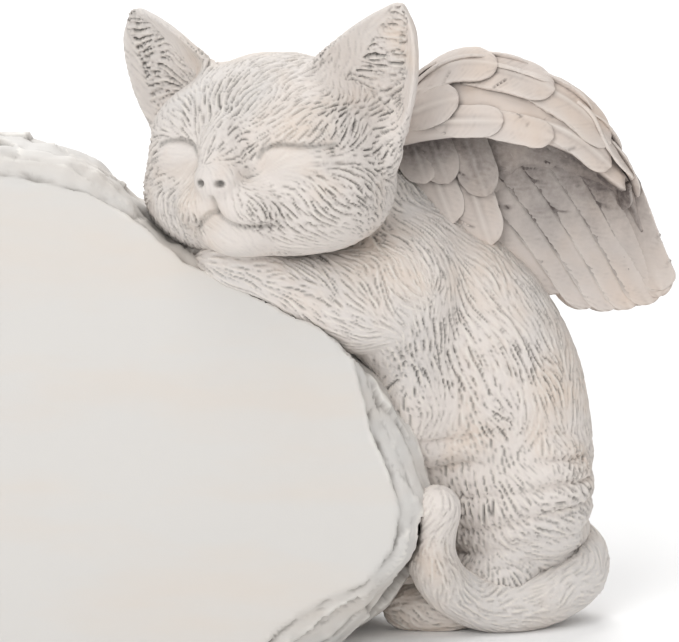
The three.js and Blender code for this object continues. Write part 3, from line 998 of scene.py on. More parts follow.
@dataclass
class KittenHead(FurCasting):
    """The sleeping head: a face in its own frame, -Y where the nose points and +X the kitten's left."""

    middle: tuple[float, float, float] = (0.4948, 0.5047, 0.3725)  # of the head, as shares of its box
    turn: float = -27.0  # degrees that the nose points away from the stone's front
    roll: float = -4.0  # degrees that the head leans

    SKULL: ClassVar[Clay] = Clay((0.0, 3.0, 2.0), (29.0, 24.0, 23.0))
    FLESH: ClassVar[tuple[Clay, ...]] = (
        Clay((-13.0, -4.0, -5.5), (16.0, 15.5, 14.5)),  # cheeks
        Clay((12.6, -3.0, -4.5), (16.0, 16.0, 14.5)),
        Clay((-11.0, -8.6, 8.0), (13.0, 11.0, 9.0)),  # brow
        Clay((12.0, -8.6, 8.0), (13.0, 11.0, 9.0)),
        Clay((2.0, -7.0, -11.0), (17.0, 14.0, 10.2)),  # jaw
        Clay((12.0, 4.0, -8.0), (15.5, 14.0, 12.5)),
    )
    FEATURES: ClassVar[tuple[Clay, ...]] = (
        Clay((-0.6, -19.0, 3.4), (5.0, 7.2, 8.6), 3.0),  # bridge of the nose
        Clay((-0.6, -25.3, -1.8), (5.2, 3.6, 3.6), 2.2),  # nose
        Clay((-5.6, -20.8, -8.2), (6.8, 6.4, 5.2), 1.6),  # pads of the muzzle
        Clay((4.4, -20.6, -8.2), (7.6, 6.4, 5.4), 1.6),
        Clay((-0.2, -17.6, -14.4), (8.6, 6.2, 5.2), 1.8),  # chin
        Clay((14.2, -15.0, 1.2), (8.4, 5.4, 4.8), 2.4),  # lids
        Clay((-12.6, -16.0, 2.6), (6.6, 5.0, 4.4), 2.4),
    )
    EAR_OUTER: ClassVar[tuple] = (
        (26.0, 7.0, 0.0), (32.4, 4.0, 6.0), (36.4, 2.4, 15.5), (37.6, 1.4, 27.0), (35.0, 1.2, 34.4)
    )
    EAR_INNER: ClassVar[tuple] = (
        (17.0, -6.0, 12.0), (13.4, -2.6, 21.5), (19.0, -1.4, 27.0), (26.0, 0.0, 31.6), (32.6, 1.2, 34.6)
    )
    # Lines and dots on the face, as x and z in millimetres
    LEFT_EYE: ClassVar[Line] = (
        (7.6, 2.6), (9.0, 4.2), (11.0, 5.1), (13.6, 5.3), (16.6, 5.0), (20.0, 4.5), (23.4, 4.5)
    )
    RIGHT_EYE: ClassVar[Line] = (
        (-7.2, 3.8), (-8.6, 5.3), (-10.4, 6.2), (-12.6, 6.6), (-15.0, 6.4), (-17.6, 5.6)
    )
    PHILTRUM: ClassVar[Line] = ((-0.6, -5.6), (-0.7, -9.1))
    MOUTH: ClassVar[Line] = (
        (-6.2, -12.6), (-4.2, -10.9), (-2.2, -9.4), (-0.7, -9.1),
        (0.4, -10.6), (2.2, -11.9), (5.4, -12.8), (10.6, -12.9),
    )
    NOSTRILS: ClassVar[Line] = ((-3.0, -2.2), (1.8, -2.4))
    BARE: ClassVar[tuple] = (  # x and z of each bare part, half its width and half its height
        (-0.8, -2.2, 6.0, 4.4),  # nose
        (13.8, 1.0, 7.4, 4.4),  # lids
        (-12.8, 2.2, 6.2, 4.4),
        (-0.6, -9.4, 5.0, 4.6),  # under the nose
        (0.5, -17.0, 9.0, 4.2),  # chin
    )

    def local(self, points: np.ndarray) -> np.ndarray:
        """Points in the face's own frame, in millimetres."""
        return (points - self._centre()) @ self._turned()

    def outward(self, vectors: np.ndarray) -> np.ndarray:
        """Directions of the face's own frame, as directions of the whole figurine."""
        return vectors @ self._turned().T

    def _turned(self) -> np.ndarray:
        """The face's own axes, as columns."""
        sideways, tilted = math.radians(self.turn), math.radians(self.roll)
        return np.array(Matrix.Rotation(sideways, 3, "Z") @ Matrix.Rotation(tilted, 3, "Y"))

    def _centre(self) -> np.ndarray:
        """The middle of the skull in millimetres."""
        low, high = node_box(self.node)
        return low + np.array(self.middle) * (high - low)

    @staticmethod
    def near_line(face: np.ndarray, line: Line) -> np.ndarray:
        """The distance from each point to a line drawn on the face, seen from the front.

        Args:
            face: points in the face's own frame.
            line: the line's corners, as x and z.

        Returns:
            One distance a point.
        """
        best = np.full(len(face), 1e9, np.float32)
        flat = face[:, [0, 2]]
        for start, end in zip(line[:-1], line[1:]):
            a, b = np.array(start), np.array(end)
            share = np.clip(((flat - a) @ (b - a)) / ((b - a) @ (b - a)), 0, 1)
            best = np.minimum(best, np.linalg.norm(flat - a - share[:, None] * (b - a), axis=1))
        return best

    def form(self, frame: dict, pitch: float) -> Field:
        """The skull, filled and softened, with the ears and the muzzle joined on.

        Args:
            pitch: the grid's spacing in millimetres.

        Returns:
            The head's distance field.
        """
        points, triangles = node_mesh(frame["nodes"][self.node])
        solid = Field.of_surface(points, triangles, pitch, 9.0, room=2.0)
        shape = solid.values.shape
        face = self.local(solid.centres().reshape(-1, 3)).astype(np.float32)

        def lump(clay: Clay) -> np.ndarray:
            """A lump of clay in the face's own frame."""
            return egg(face, clay.centre, clay.radii).reshape(shape)

        above = smoothstep(9.0, 11.0, face[:, 2]).reshape(shape)
        skull = lump(self.SKULL)
        solid.values = np.maximum(solid.values, np.where(above > 0, skull - 12 * (1 - above), -9))
        for clay in self.FLESH:
            solid.add(lump(clay), clay.fillet)
        solid = solid.filled_up(3.4).blurred(1.5)
        solid.values -= np.float32(0.15)
        for clay in self.FEATURES:
            solid.add(lump(clay), clay.fillet)
        for side in (-1, 1):
            ear_points, ear_quads = self.ear(side)
            solid.add(solid.like(ear_points, ear_quads, 6.0), 2.2)
        return solid.blurred(0.55)

    def ear(self, side: int) -> tuple[np.ndarray, np.ndarray]:
        """One ear: a cup with a thick rolled rim, open to the front.

        Args:
            side: -1 for the kitten's right ear and 1 for its left one.

        Returns:
            Its closed mesh in the figurine's frame.
        """
        rows, columns = 60, 60
        a, b = np.meshgrid(np.linspace(0, 1, rows), np.linspace(-1, 1, columns), indexing="ij")
        a, b = a.ravel(), b.ravel()
        edge_out, edge_in = (curve(np.array(line), a) for line in (self.EAR_OUTER, self.EAR_INNER))
        middle = 0.5 * (edge_out + edge_in) + 0.5 * (edge_out - edge_in) * b[:, None]
        wide = np.linalg.norm(edge_out - edge_in, axis=1)
        hollow = 0.27 * wide * (1 - np.abs(b) ** 2.4)
        middle[:, 1] += hollow
        thick = 1.35 + 0.35 * np.abs(b) ** 3
        front, rear = middle.copy(), middle.copy()
        front[:, 1] -= thick
        rear[:, 1] += thick * (1.5 - 0.5 * np.abs(b))
        front, rear = (part * np.array([side, 1, 1]) for part in (front, rear))
        front, rear = (self.outward(part) + self._centre() for part in (front, rear))
        points, quads = closed_sheet(front, rear, rows, columns)
        return points, quads if side < 0 else quads[:, ::-1]

    def model(self, skin: Skin) -> None:
        """Cuts the eye lines, the mouth and the nostrils.

        Args:
            skin: the head's surface.
        """
        face = self.local(skin.points)
        front = smoothstep(4.0, -6.0, face[:, 1])
        lift = np.zeros(len(face), np.float32)
        for line in (self.LEFT_EYE, self.RIGHT_EYE):
            near = self.near_line(face, line)
            inner = smoothstep(0.0, 3.5, np.abs(face[:, 0] - line[0][0]))
            outer = smoothstep(0.0, 6.0, np.abs(face[:, 0] - line[-1][0]))
            groove = 0.95 * np.exp(-((near / 0.55) ** 2)) + 0.3 * np.exp(-((near / 1.6) ** 2))
            lift -= groove * (0.25 + 0.75 * inner * outer)
        near = self.near_line(face, self.PHILTRUM)
        lift -= 0.7 * np.exp(-((near / 0.5) ** 2))
        near = self.near_line(face, self.MOUTH)
        lift -= 0.85 * np.exp(-((near / 0.5) ** 2)) + 0.25 * np.exp(-((near / 1.5) ** 2))
        for x, z in self.NOSTRILS:
            away = np.hypot((face[:, 0] - x) / 0.95, (face[:, 2] - z) / 0.8)
            lift -= 1.6 * np.exp(-(away**3)) * smoothstep(-18.0, -23.0, face[:, 1])
        skin.push(lift * front)

    def smooth_parts(self, face: np.ndarray) -> np.ndarray:
        """Where the face is left almost bare: nose, lids and chin.

        Args:
            face: points in the face's own frame.

        Returns:
            One number a point, 1 where it is bare.
        """
        front = smoothstep(0.0, -8.0, face[:, 1])
        bare = np.zeros(len(face), np.float32)
        for x, z, wide, tall in self.BARE:
            away = ((face[:, 0] - x) / wide) ** 2 + ((face[:, 2] - z) / tall) ** 2
            bare = np.maximum(bare, smoothstep(1.5, 0.6, away))
        return bare * front

    def lie(self, points: np.ndarray, normals: np.ndarray) -> np.ndarray:
        """Fur runs from the bridge of the nose up over the brow and out over the cheeks.

        Args:
            points: places in millimetres.
            normals: the surface's normals there.

        Returns:
            One unit vector a point.
        """
        face = self.local(points)
        way = face - np.array([-1.8, -26.0, 0.5])
        way[:, 2] -= 9.0 * smoothstep(2.0, -10.0, face[:, 2])
        ear, inside = self.ear_parts(face, normals)
        upward = np.stack([0.4 * np.sign(face[:, 0]), np.zeros(len(face)), np.ones(len(face))], 1) * 30
        across = np.stack([np.sign(face[:, 0]), np.zeros(len(face)), np.full(len(face), 0.1)], 1) * 30
        way = way * (1 - ear)[:, None] + upward * (ear * (1 - inside))[:, None] + across * inside[:, None]
        world = self.outward(way)
        world -= np.einsum("ij,ij->i", world, normals)[:, None] * normals
        return unit(world)

    def amount(self, points: np.ndarray, normals: np.ndarray) -> np.ndarray:
        """Fur is deepest on the brow and jaw and in the ears, and fades out on the face's bare parts.

        Args:
            points: places in millimetres.
            normals: the surface's normals there.

        Returns:
            One number a point, around one.
        """
        face = self.local(points)
        patches = Grain(self.seed + 5).at(points, 8.0, soft=True)
        amount = np.clip(0.85 + 0.3 * patches, 0.3, 1.4)
        amount *= 1 - 0.86 * self.smooth_parts(face)
        ear, inside = self.ear_parts(face, normals)
        return amount * (1 - 0.8 * ear * (1 - inside)) + 0.7 * inside

    def ear_parts(self, face: np.ndarray, normals: np.ndarray) -> tuple[np.ndarray, np.ndarray]:
        """How much each point belongs to an ear, and to the hollow of an ear.

        Args:
            face: points in the face's own frame.
            normals: the surface's normals there.

        Returns:
            Two numbers a point, 0 to 1.
        """
        along = (np.abs(face[:, 0]) - 23.5) * 0.43 + (face[:, 2] - 10.0) * 0.9
        across = np.abs((np.abs(face[:, 0]) - 23.5) * 0.9 - (face[:, 2] - 10.0) * 0.43)
        ear = smoothstep(1.0, 5.0, along) * smoothstep(13.0, 10.0, across)
        facing = -(normals @ self.outward(np.array([[0.0, 1.0, 0.0]])).ravel())
        width = 10.0 - 0.3 * along
        return ear, ear * smoothstep(0.95, 0.7, across / width) * smoothstep(0.2, 0.5, facing)

    def crease(self, skin: Skin, soft: Field) -> np.ndarray:
        """The wash in the eye lines, nostrils and mouth, and painted shade with some wash in the folds of the
        form.

        Args:
            skin: the head's surface.
            soft: its distance field.

        Returns:
            One number a point.
        """
        face = self.local(skin.points)
        wash = super().crease(skin, soft)
        front = smoothstep(0.0, -8.0, face[:, 1])
        for line in (self.LEFT_EYE, self.RIGHT_EYE):
            wash += 0.6 * np.exp(-((self.near_line(face, line) / 0.55) ** 2)) * front
        for line, strength in ((self.MOUTH, 0.5), (self.PHILTRUM, 0.45)):
            wash += strength * np.exp(-((self.near_line(face, line) / 0.5) ** 2)) * front
        for x, z in self.NOSTRILS:
            away = np.hypot((face[:, 0] - x) / 1.0, (face[:, 2] - z) / 0.8)
            wash += 1.3 * np.exp(-(away**4)) * smoothstep(-18.0, -22.0, face[:, 1])
        return wash


# ------------------------------------------------------------------------------------------- body
# The near arm below the cheek, measured from the lowest corner of the near foreleg's box
UPPER_ARM = Clay((38.0, 12.5, 12.0), (13.0, 9.5, 12.0), 10.0)


@dataclass
class NearForeleg(FurCasting):
    """The foreleg under the chin, with the full upper arm that rises to the cheek."""

    ARM_FILLET: ClassVar[float] = 4.0  # mm
    FOREARM: ClassVar[tuple[Clay, ...]] = (
        Clay((3.0, 9.0, 20.0), (8.0, 7.0, 5.0)),  # paw
        Clay((25.0, 12.5, 14.5), (16.0, 9.0, 8.0)),
    )

    def add_to(self, solid: Field, frame: dict) -> None:
        """Fills the arm up to the cheek.

        Args:
            solid: the foreleg's distance field.
        """
        low, _ = node_box(self.node)
        for clay in (*self.FOREARM, UPPER_ARM):
            distance = egg(solid.centres(), low + clay.centre, clay.radii)
            solid.add(distance.astype(np.float32), self.ARM_FILLET)


@dataclass
class KittenTorso(FurCasting):
    """Chest, back, haunches and hind feet, with the skin folds over the hip."""

    BELLY: ClassVar[Clay] = Clay((24.5, 12.0, 58.0), (10.0, 16.0, 24.0), 6.0)
    SEAMS: ClassVar[tuple] = (  # neighbour, mm that it stays proud of the torso, mm of fillet
        ("left_foreleg", 0.5, 9.0),
        ("right_foreleg", 0.5, 9.0),
        ("kitten_head", 2.5, 5.0),
    )
    fold: float = 6.4  # mm from one skin fold to the next

    def add_to(self, solid: Field, frame: dict) -> None:
        """Lets the chest flow into the forelegs and up the neck, as the filled seams do.

        Args:
            solid: the torso's distance field.
        """
        own = solid.values
        low, _ = node_box(self.node)
        belly = egg(solid.centres(), low + self.BELLY.centre, self.BELLY.radii)
        solid.add(belly.astype(np.float32), self.BELLY.fillet)
        arm_low, _ = node_box("left_foreleg")
        arm = egg(solid.centres(), arm_low + UPPER_ARM.centre, UPPER_ARM.radii) + 0.5
        solid.add(np.maximum(arm, own - 8.0).astype(np.float32), UPPER_ARM.fillet)
        for name, below, fillet in self.SEAMS:
            points, triangles = node_mesh(frame["nodes"][name])
            other = solid.like(points, triangles, 9.0) + np.float32(below)
            solid.add(np.maximum(other, own - 5.0), fillet)

    def model(self, skin: Skin) -> None:
        """Cuts the skin folds across the near haunch.

        Args:
            skin: the torso's surface.
        """
        low, high = node_box(self.node)
        share = (skin.points - low) / (high - low)
        near = smoothstep(0.75, 0.35, share[:, 1])
        wander = Grain(self.seed + 9).at(skin.points, 14.0, soft=True)
        height = skin.points[:, 2] + 2.2 * wander - 0.10 * (skin.points[:, 0] - low[0])
        wave = np.cos(2 * np.pi * height / self.fold)
        zone = smoothstep(0.46, 0.38, share[:, 2]) * smoothstep(0.10, 0.16, share[:, 2])
        broken = np.clip(0.75 + 0.6 * Grain(self.seed + 11).at(skin.points, 11.0, soft=True), 0, 1.3)
        folds = zone * broken * near * (0.38 * wave - 0.75 * np.clip(-wave, 0, 1) ** 5)
        skin.push(folds.astype(np.float32))


# ------------------------------------------------------------------------------------------- wings
class Layer(Enum):
    """Which face of the wing a feather lies on."""

    UPPER = "upper"
    LOWER = "lower"
    BLADE = "blade"


@dataclass(frozen=True)
class Feather:
    """One feather: from (u, v) to (u, v) on the wing's arched sheet."""

    root: tuple[float, float]
    tip: tuple[float, float]
    width: float  # mm
    layer: Layer
    lift: float  # mm that the tip stands off the sheet
    thickness: float = 1.5  # mm
    tilt: float = 0.0  # mm of rise for each mm across
    splits: int = 1
    barbs: float = 0.1  # mm deep


@dataclass
class FeatherMesh:
    """A closed mesh with the paint's marks and its painted shade on its points."""

    points: np.ndarray
    quads: np.ndarray
    wash: np.ndarray
    brush: np.ndarray
    deep: np.ndarray  # painted shade under the arch, by how far each point lies up under it, 0 to 1

    @classmethod
    def plain(cls, points: np.ndarray, quads: np.ndarray) -> FeatherMesh:
        """A mesh without any wash, its faces turned outward.

        Args:
            points: the mesh's points.
            quads: its faces, all wound the same way.

        Returns:
            The mesh.
        """
        a, b, c, d = (points[quads[:, i]] - points.mean(0) for i in range(4))
        volume = np.einsum("ij,ij->", np.cross(b - a, c - a) + np.cross(c - a, d - a), a)
        none = np.zeros(len(points))
        return cls(points, quads if volume > 0 else quads[:, ::-1], none, none, none)


@dataclass
class Wing:
    """A wing of overlapping feathers on an arched sheet."""

    node: str
    seed: int
    mirrored: bool
    detail: float = 0.55  # mm between points of the mesh
    barb: float = 1.25  # mm from one barb to the next
    root: tuple[float, float, float] = (0.2975, 0.6964, 0.3463)  # of the near wing, as shares of its box

    # The sheet's three long lines, in millimetres from where the wing springs from the back
    LEAD: ClassVar[tuple] = (
        (-20, -6, 16.5), (-14, -10, 18.5), (-3.5, -12, 20), (10.5, -12, 20.4), (24, -10, 16.5), (37.5, -5, 7)
    )
    RIDGE: ClassVar[tuple] = (
        (-18.5, -4, 20.5), (-11.5, -3, 28.5), (3, -2, 33.4), (16, -2, 31), (29, -2, 22.6), (38.5, -2, 6.5)
    )
    TRAIL: ClassVar[tuple] = (
        (-16, -2, 12.6), (2.5, 2, -3.5), (26.5, 4, -19.3), (38, 4, -20.8), (44.5, 2, -19), (46.3, 0, -15.6)
    )
    # Feathers, by where their tips lie on the sheet
    FLIGHT_TIPS: ClassVar[tuple[float, ...]] = (0.2, 0.28, 0.36, 0.44, 0.53, 0.63, 0.76, 0.89, 0.99)
    SCALLOPS: ClassVar[tuple] = (  # v, number in the row, first u, last u
        (0.72, 3, 0.06, 0.2),
        (0.44, 9, 0.05, 0.93),
        (0.16, 8, 0.1, 0.93),
        (-0.14, 7, 0.14, 0.93),
        (-0.42, 6, 0.2, 0.93),
    )
    ROOT_COVER: ClassVar[tuple] = ((0.08, 0.86), (0.17, 0.74), (0.27, 0.72), (0.13, 1.04), (0.23, 0.98))
    ARCH: ClassVar[tuple] = (  # u, v, width, lift, length
        (0.98, -0.12, 10.5, 1.9, 0.24),
        (0.8, -0.1, 11.0, 2.0, 0.28),
        (0.61, -0.1, 10.5, 2.1, 0.3),
        (0.42, -0.06, 8.5, 2.1, 0.3),
        (0.9, -0.5, 10.5, 2.3, 0.28),
        (0.71, -0.48, 10.5, 2.5, 0.3),
        (0.53, -0.44, 10.5, 2.7, 0.3),
        (0.33, -0.28, 5.0, 3.3, 0.2),
        (0.69, -0.27, 9.0, 2.3, 0.26),
        (0.49, -0.25, 8.0, 2.5, 0.26),
        (0.92, -0.86, 7.5, 1.8, 0.22),
        (0.73, -0.93, 7.0, 1.8, 0.26),
        (0.57, -0.9, 7.5, 2.2, 0.24),
        (0.43, -0.76, 9.5, 2.9, 0.24),
        (0.25, -0.7, 5.0, 3.6, 0.2),
    )

    def middle(self) -> np.ndarray:
        """Where the near wing springs from the back."""
        low, high = node_box("left_wing")
        return low + np.array(self.root) * (high - low)

    def sheet(self, u: np.ndarray, v: np.ndarray) -> np.ndarray:
        """Points of the arched sheet that the feathers lie on.

        Args:
            u: how far out along the wing, 0 to 1.
            v: -1 on the front lip, 0 on the ridge, 1 at the feather tips.

        Returns:
            One point for each u and v.
        """
        lines = (np.array(line, float) + self.middle() for line in (self.LEAD, self.RIDGE, self.TRAIL))
        lead, ridge, trail = (curve(line, u) for line in lines)
        v = v[:, None]
        return lead * v * (v - 1) / 2 + ridge * (1 - v * v) + trail * v * (v + 1) / 2

    def out(self, u: np.ndarray, v: np.ndarray) -> np.ndarray:
        """The sheet's normals on its upper side.

        Args:
            u: how far out along the wing.
            v: how far from lip to tips.

        Returns:
            One unit vector for each u and v.
        """
        e = 0.004
        u = np.clip(u, e, 1 - e)
        outward = self.sheet(u + e, v) - self.sheet(u - e, v)
        back = self.sheet(u, v + e) - self.sheet(u, v - e)
        return unit(np.cross(outward, back))

    def feather(self, plan: Feather, seed: int) -> FeatherMesh:
        """Models one feather.

        Args:
            plan: where it lies and how it is cut.
            seed: settles its bend, barbs and splits.

        Returns:
            Its closed mesh with the paint's marks and painted shade.
        """
        rng = np.random.default_rng(seed)
        start, end = np.array(plan.root), np.array(plan.tip)
        steps = np.linspace(0, 1, 40)[:, None]
        line = self.sheet(*(start + (end - start) * steps).T)
        length = float(np.linalg.norm(np.diff(line, axis=0), axis=1).sum())
        step = self.detail * 1.0
        rows, columns = max(14, int(length / step)), max(12, int(plan.width / step))
        s, t = np.meshgrid(np.linspace(0, 1, rows), np.linspace(-1, 1, columns), indexing="ij")
        s, t = 1 - (1 - s.ravel()) ** 1.3, np.sin(0.5 * np.pi * t.ravel())
        place = start + (end - start) * s[:, None]
        near = 0.02 * (end - start)
        ahead = unit(self.sheet(*(place + near).T) - self.sheet(*(place - near).T))
        out = self.out(*place.T)
        side = unit(np.cross(out, ahead))
        bow = 0.06 * plan.width * np.sin(np.pi * s) * rng.uniform(-1, 1)
        half = self._half_width(plan, s, length)
        across = t * half + bow
        relief, wash, brush = self._carving(plan, rng, s, t, half, length)
        tilt = plan.tilt * across * np.minimum(1, 3 * s)
        relief += tilt
        thick = 0.5 * plan.thickness * (1 - 0.3 * s) * (1 - 0.25 * t**4)
        lift = plan.lift * s**0.8
        base = self.sheet(*place.T) + side * across[:, None]
        if plan.layer is Layer.LOWER:
            above, below = thick - lift, lift + thick + relief
        elif plan.layer is Layer.UPPER:
            above, below = lift + thick + relief, thick - lift
        else:
            above, below = lift + thick + relief, thick + relief - 2 * tilt - lift
        points, quads = closed_sheet(base + out * above[:, None], base - out * below[:, None], rows, columns)
        # painted shade under the arch: full on a feather's lower face, a little on the upper face of lower
        # feathers and blades, fading towards the tips
        arch = smoothstep(1.0, 0.3, place[:, 1]) * (plan.layer is not Layer.UPPER)
        sides = np.array([0.0 if plan.layer is Layer.UPPER else 0.3, 1.0])
        return FeatherMesh(points, quads, np.tile(wash, 2), np.tile(brush, 2), np.outer(sides, arch).ravel())

    @staticmethod
    def _half_width(plan: Feather, s: np.ndarray, length: float) -> np.ndarray:
        """Half of a feather's width, which closes in a round tip.

        Args:
            plan: the feather.
            s: how far each point is from root to tip, 0 to 1.
            length: the feather's length in millimetres.

        Returns:
            Millimetres, one number a point.
        """
        cap = min(0.5, 0.6 * plan.width / length)
        along = np.clip((s - (1 - cap)) / cap, 0, 1)
        widest = 0.5 * plan.width * np.minimum(1, 0.72 + 0.8 * s)
        return widest * np.sqrt(np.clip(1 - 0.99 * along**2.3, 0, 1))

    def _carving(
        self,
        plan: Feather,
        rng: np.random.Generator,
        s: np.ndarray,
        t: np.ndarray,
        half: np.ndarray,
        length: float,
    ) -> tuple[np.ndarray, np.ndarray, np.ndarray]:
        """What the knife cuts into a feather: a quill between two furrows, barbs and a few splits.

        Args:
            plan: the feather.
            rng: its own random numbers.
            s: how far each point is from root to tip, 0 to 1.
            t: how far it is across, -1 to 1.
            half: half of the feather's width there.
            length: the feather's length in millimetres.

        Returns:
            The height in millimetres, the wash with painted shade in the cuts, and the dry brush.
        """
        reach = np.abs(t) * half
        barb = s * length + 0.95 * reach + 0.35 * np.sin(0.8 * s * length + rng.uniform(0, 6))
        comb = np.abs(np.sin(np.pi * barb / self.barb))
        uneven = 0.6 + 0.4 * np.sin(0.9 * barb + rng.uniform(0, 6))
        valley = (1 - comb) ** 2 * np.minimum(1, reach / 0.9) * uneven
        quill = np.exp(-((reach / 0.42) ** 2)) * (1 - 0.75 * s)
        furrow = np.exp(-(((reach - 0.95) / 0.3) ** 2)) * (1 - 0.6 * s)
        split = np.zeros(len(s))
        for _ in range(plan.splits):
            at = rng.uniform(0.35, 0.92) * length
            edge = rng.choice([-1, 1])
            lean = rng.uniform(0.2, 0.55)
            split += np.exp(-(((barb - at) / 0.24) ** 2)) * smoothstep(lean, lean + 0.25, edge * t)
        split = np.clip(split, 0, 1)
        relief = 0.34 * quill - 0.14 * furrow - plan.barbs * valley - 0.6 * split - 0.05 * plan.width * t**2
        wash = np.clip(0.2 * valley + 0.25 * furrow + 0.95 * split, 0, 1)
        brush = np.clip(0.7 * quill + 0.4 * np.abs(t) ** 6, 0, 1)
        return relief, wash, brush

    def shell(self) -> FeatherMesh:
        """The casting behind the feathers.

        Returns:
            Its mesh, with painted shade under the arch.
        """
        rows, columns = 60, 50
        u, w = np.meshgrid(np.linspace(0.0, 0.985, rows), np.linspace(0, 1, columns), indexing="ij")
        u, w = u.ravel(), w.ravel()
        v = -0.97 + w * (0.97 + 0.95 - 0.42 * smoothstep(0.14, 0.42, u))
        place, out = self.sheet(u, v), self.out(u, v)
        points, quads = closed_sheet(place + 0.9 * out, place - 0.9 * out, rows, columns)
        none = np.zeros(len(points))
        return FeatherMesh(points, quads, none, none, np.outer([0.0, 1.0], smoothstep(1.0, 0.3, v)).ravel())

    def stem(self) -> FeatherMesh:
        """The thick root that joins the wing to the back.

        Returns:
            Its mesh.
        """
        start = self.sheet(np.array([0.2]), np.array([0.55])) + (0.0, 1.5, 0.0)
        inside = self.middle() + np.array([(0.5, 1.5, 5.0), (-0.5, 1.5, -6.0), (-2.0, 2.0, -17.0)])
        knots = np.concatenate([start, inside])
        rows, columns = 30, 28
        turns = np.linspace(0, 2 * np.pi, columns + 1)[:-1]
        s, turn = np.meshgrid(np.linspace(0, 1, rows), turns, indexing="ij")
        s, turn = s.ravel(), turn.ravel()[:, None]
        ahead = unit(curve(knots, s + 0.02) - curve(knots, s - 0.02))
        side = unit(np.cross(ahead, np.array([0.0, 1.0, 0.2])))
        radius = ((2.6 + 2.0 * s) * np.sqrt(np.clip(1 - (2 * s - 1) ** 8, 0.003, 1)))[:, None]
        points = curve(knots, s) + radius * (np.cos(turn) * side + np.sin(turn) * np.cross(side, ahead))
        index = np.arange(rows * columns).reshape(rows, columns)
        around = np.roll(index, -1, axis=1)
        walls = np.stack([index[:-1], around[:-1], around[1:], index[1:]], -1).reshape(-1, 4)
        half = columns // 2
        steps = np.arange(half - 1)
        caps = [
            np.stack([ring[steps + 1], ring[steps], ring[-steps - 1], ring[-steps - 2]], -1)
            for ring in (index[0], index[-1])
        ]
        caps[0] = caps[0][:, ::-1]
        return FeatherMesh.plain(points, np.concatenate([walls, *caps]))

    def plans(self) -> list[Feather]:
        """Every feather of the wing. Its place in the list settles a feather's random numbers."""
        under = [*self._flights(), *self._scallops(), *self._root_cover()]
        return [*under, *self._arch(), *self._back_coverts()]

    def _flights(self) -> list[Feather]:
        """The long flight feathers.

        Returns:
            The feathers, each springing from nearer the wing's root than its tip lies.
        """
        found = []
        for tip in self.FLIGHT_TIPS:
            root = (max(tip - 0.33 * (1 - 0.25 * tip), 0.04), 0.15)
            plan = Feather(root, (tip, 1.0), 9.2, Layer.BLADE, 0.0, 1.3, tilt=-0.22, splits=3, barbs=0.2)
            found.append(plan)
        return found

    def _scallops(self) -> list[Feather]:
        """Rows of small scalloped feathers under the arch.

        Returns:
            The feathers, row by row.
        """
        found = []
        for row, (v, count, first, last) in enumerate(self.SCALLOPS):
            for i in range(count):
                u = first + (last - first) * (i + 0.35 * (row % 2)) / (count - 0.6)
                root, tip = (u + 0.03, max(v - 0.42, -0.84)), (u - 0.02 * v, v)
                found.append(Feather(root, tip, 8.6, Layer.LOWER, 2.3, 1.5, tilt=-0.08, barbs=0.12))
        return found

    def _root_cover(self) -> list[Feather]:
        """Scallops that cover the wing's root."""
        return [
            Feather((u + 0.02, v - 0.5), (u, v), 9.5, Layer.LOWER, 4.6, 1.6, barbs=0.12)
            for u, v in self.ROOT_COVER
        ]

    def _arch(self) -> list[Feather]:
        """The feathers on the arch itself.

        Returns:
            The feathers of the ridge, the middle and the lip.
        """
        found = []
        for u, v, width, lift, length in self.ARCH:
            root, tip = (u - length, v + 0.03), (min(u, 1.0), v)
            found.append(Feather(root, tip, width, Layer.UPPER, lift, 1.9, barbs=0.07))
        return found

    def _back_coverts(self) -> list[Feather]:
        """Three rows of coverts on the back of the wing.

        Returns:
            The feathers, row by row.
        """
        found = []
        for row, v in enumerate((0.7, 0.46, 0.24)):
            for i in range(8):
                u = 0.08 + 0.105 * i + 0.05 * (row % 2)
                lift = 1.4 + 0.2 * row
                found.append(Feather((u - 0.05, v - 0.34), (u + 0.03, v), 9.5, Layer.UPPER, lift, 1.5))
        return found

    def _mirror(self, points: np.ndarray) -> np.ndarray:
        """Points seen in the plane half way between the two wing dowels.

        Args:
            points: places in millimetres.

        Returns:
            The mirrored places.
        """
        centres = [sum(node_box(name)) / 2 for name in ("left_wing_dowel", "right_wing_dowel")]
        normal = unit(centres[0] - centres[1])
        height = (points - (centres[0] + centres[1]) / 2) @ normal
        return points - 2 * height[:, None] * normal

    def build(self, crevices: Crevices, finish: CastResin) -> bpy.types.Object:
        """Makes the wing and puts it in the place of its CAD node.

        Args:
            crevices: where painted shade darkens the paint.
            finish: the paint.

        Returns:
            The finished object.
        """
        feathers = [self.feather(plan, self.seed + i) for i, plan in enumerate(self.plans())]
        pieces = [self.shell(), self.stem(), *feathers]
        shift = np.cumsum([0] + [len(piece.points) for piece in pieces[:-1]])
        points = np.concatenate([piece.points for piece in pieces]).astype(np.float32)
        quads = np.concatenate([piece.quads + s for piece, s in zip(pieces, shift)])
        if self.mirrored:
            points, quads = self._mirror(points), quads[:, ::-1]
        skin = Skin(points, quads)
        normals = skin.normals()
        deep = np.concatenate([piece.deep for piece in pieces])
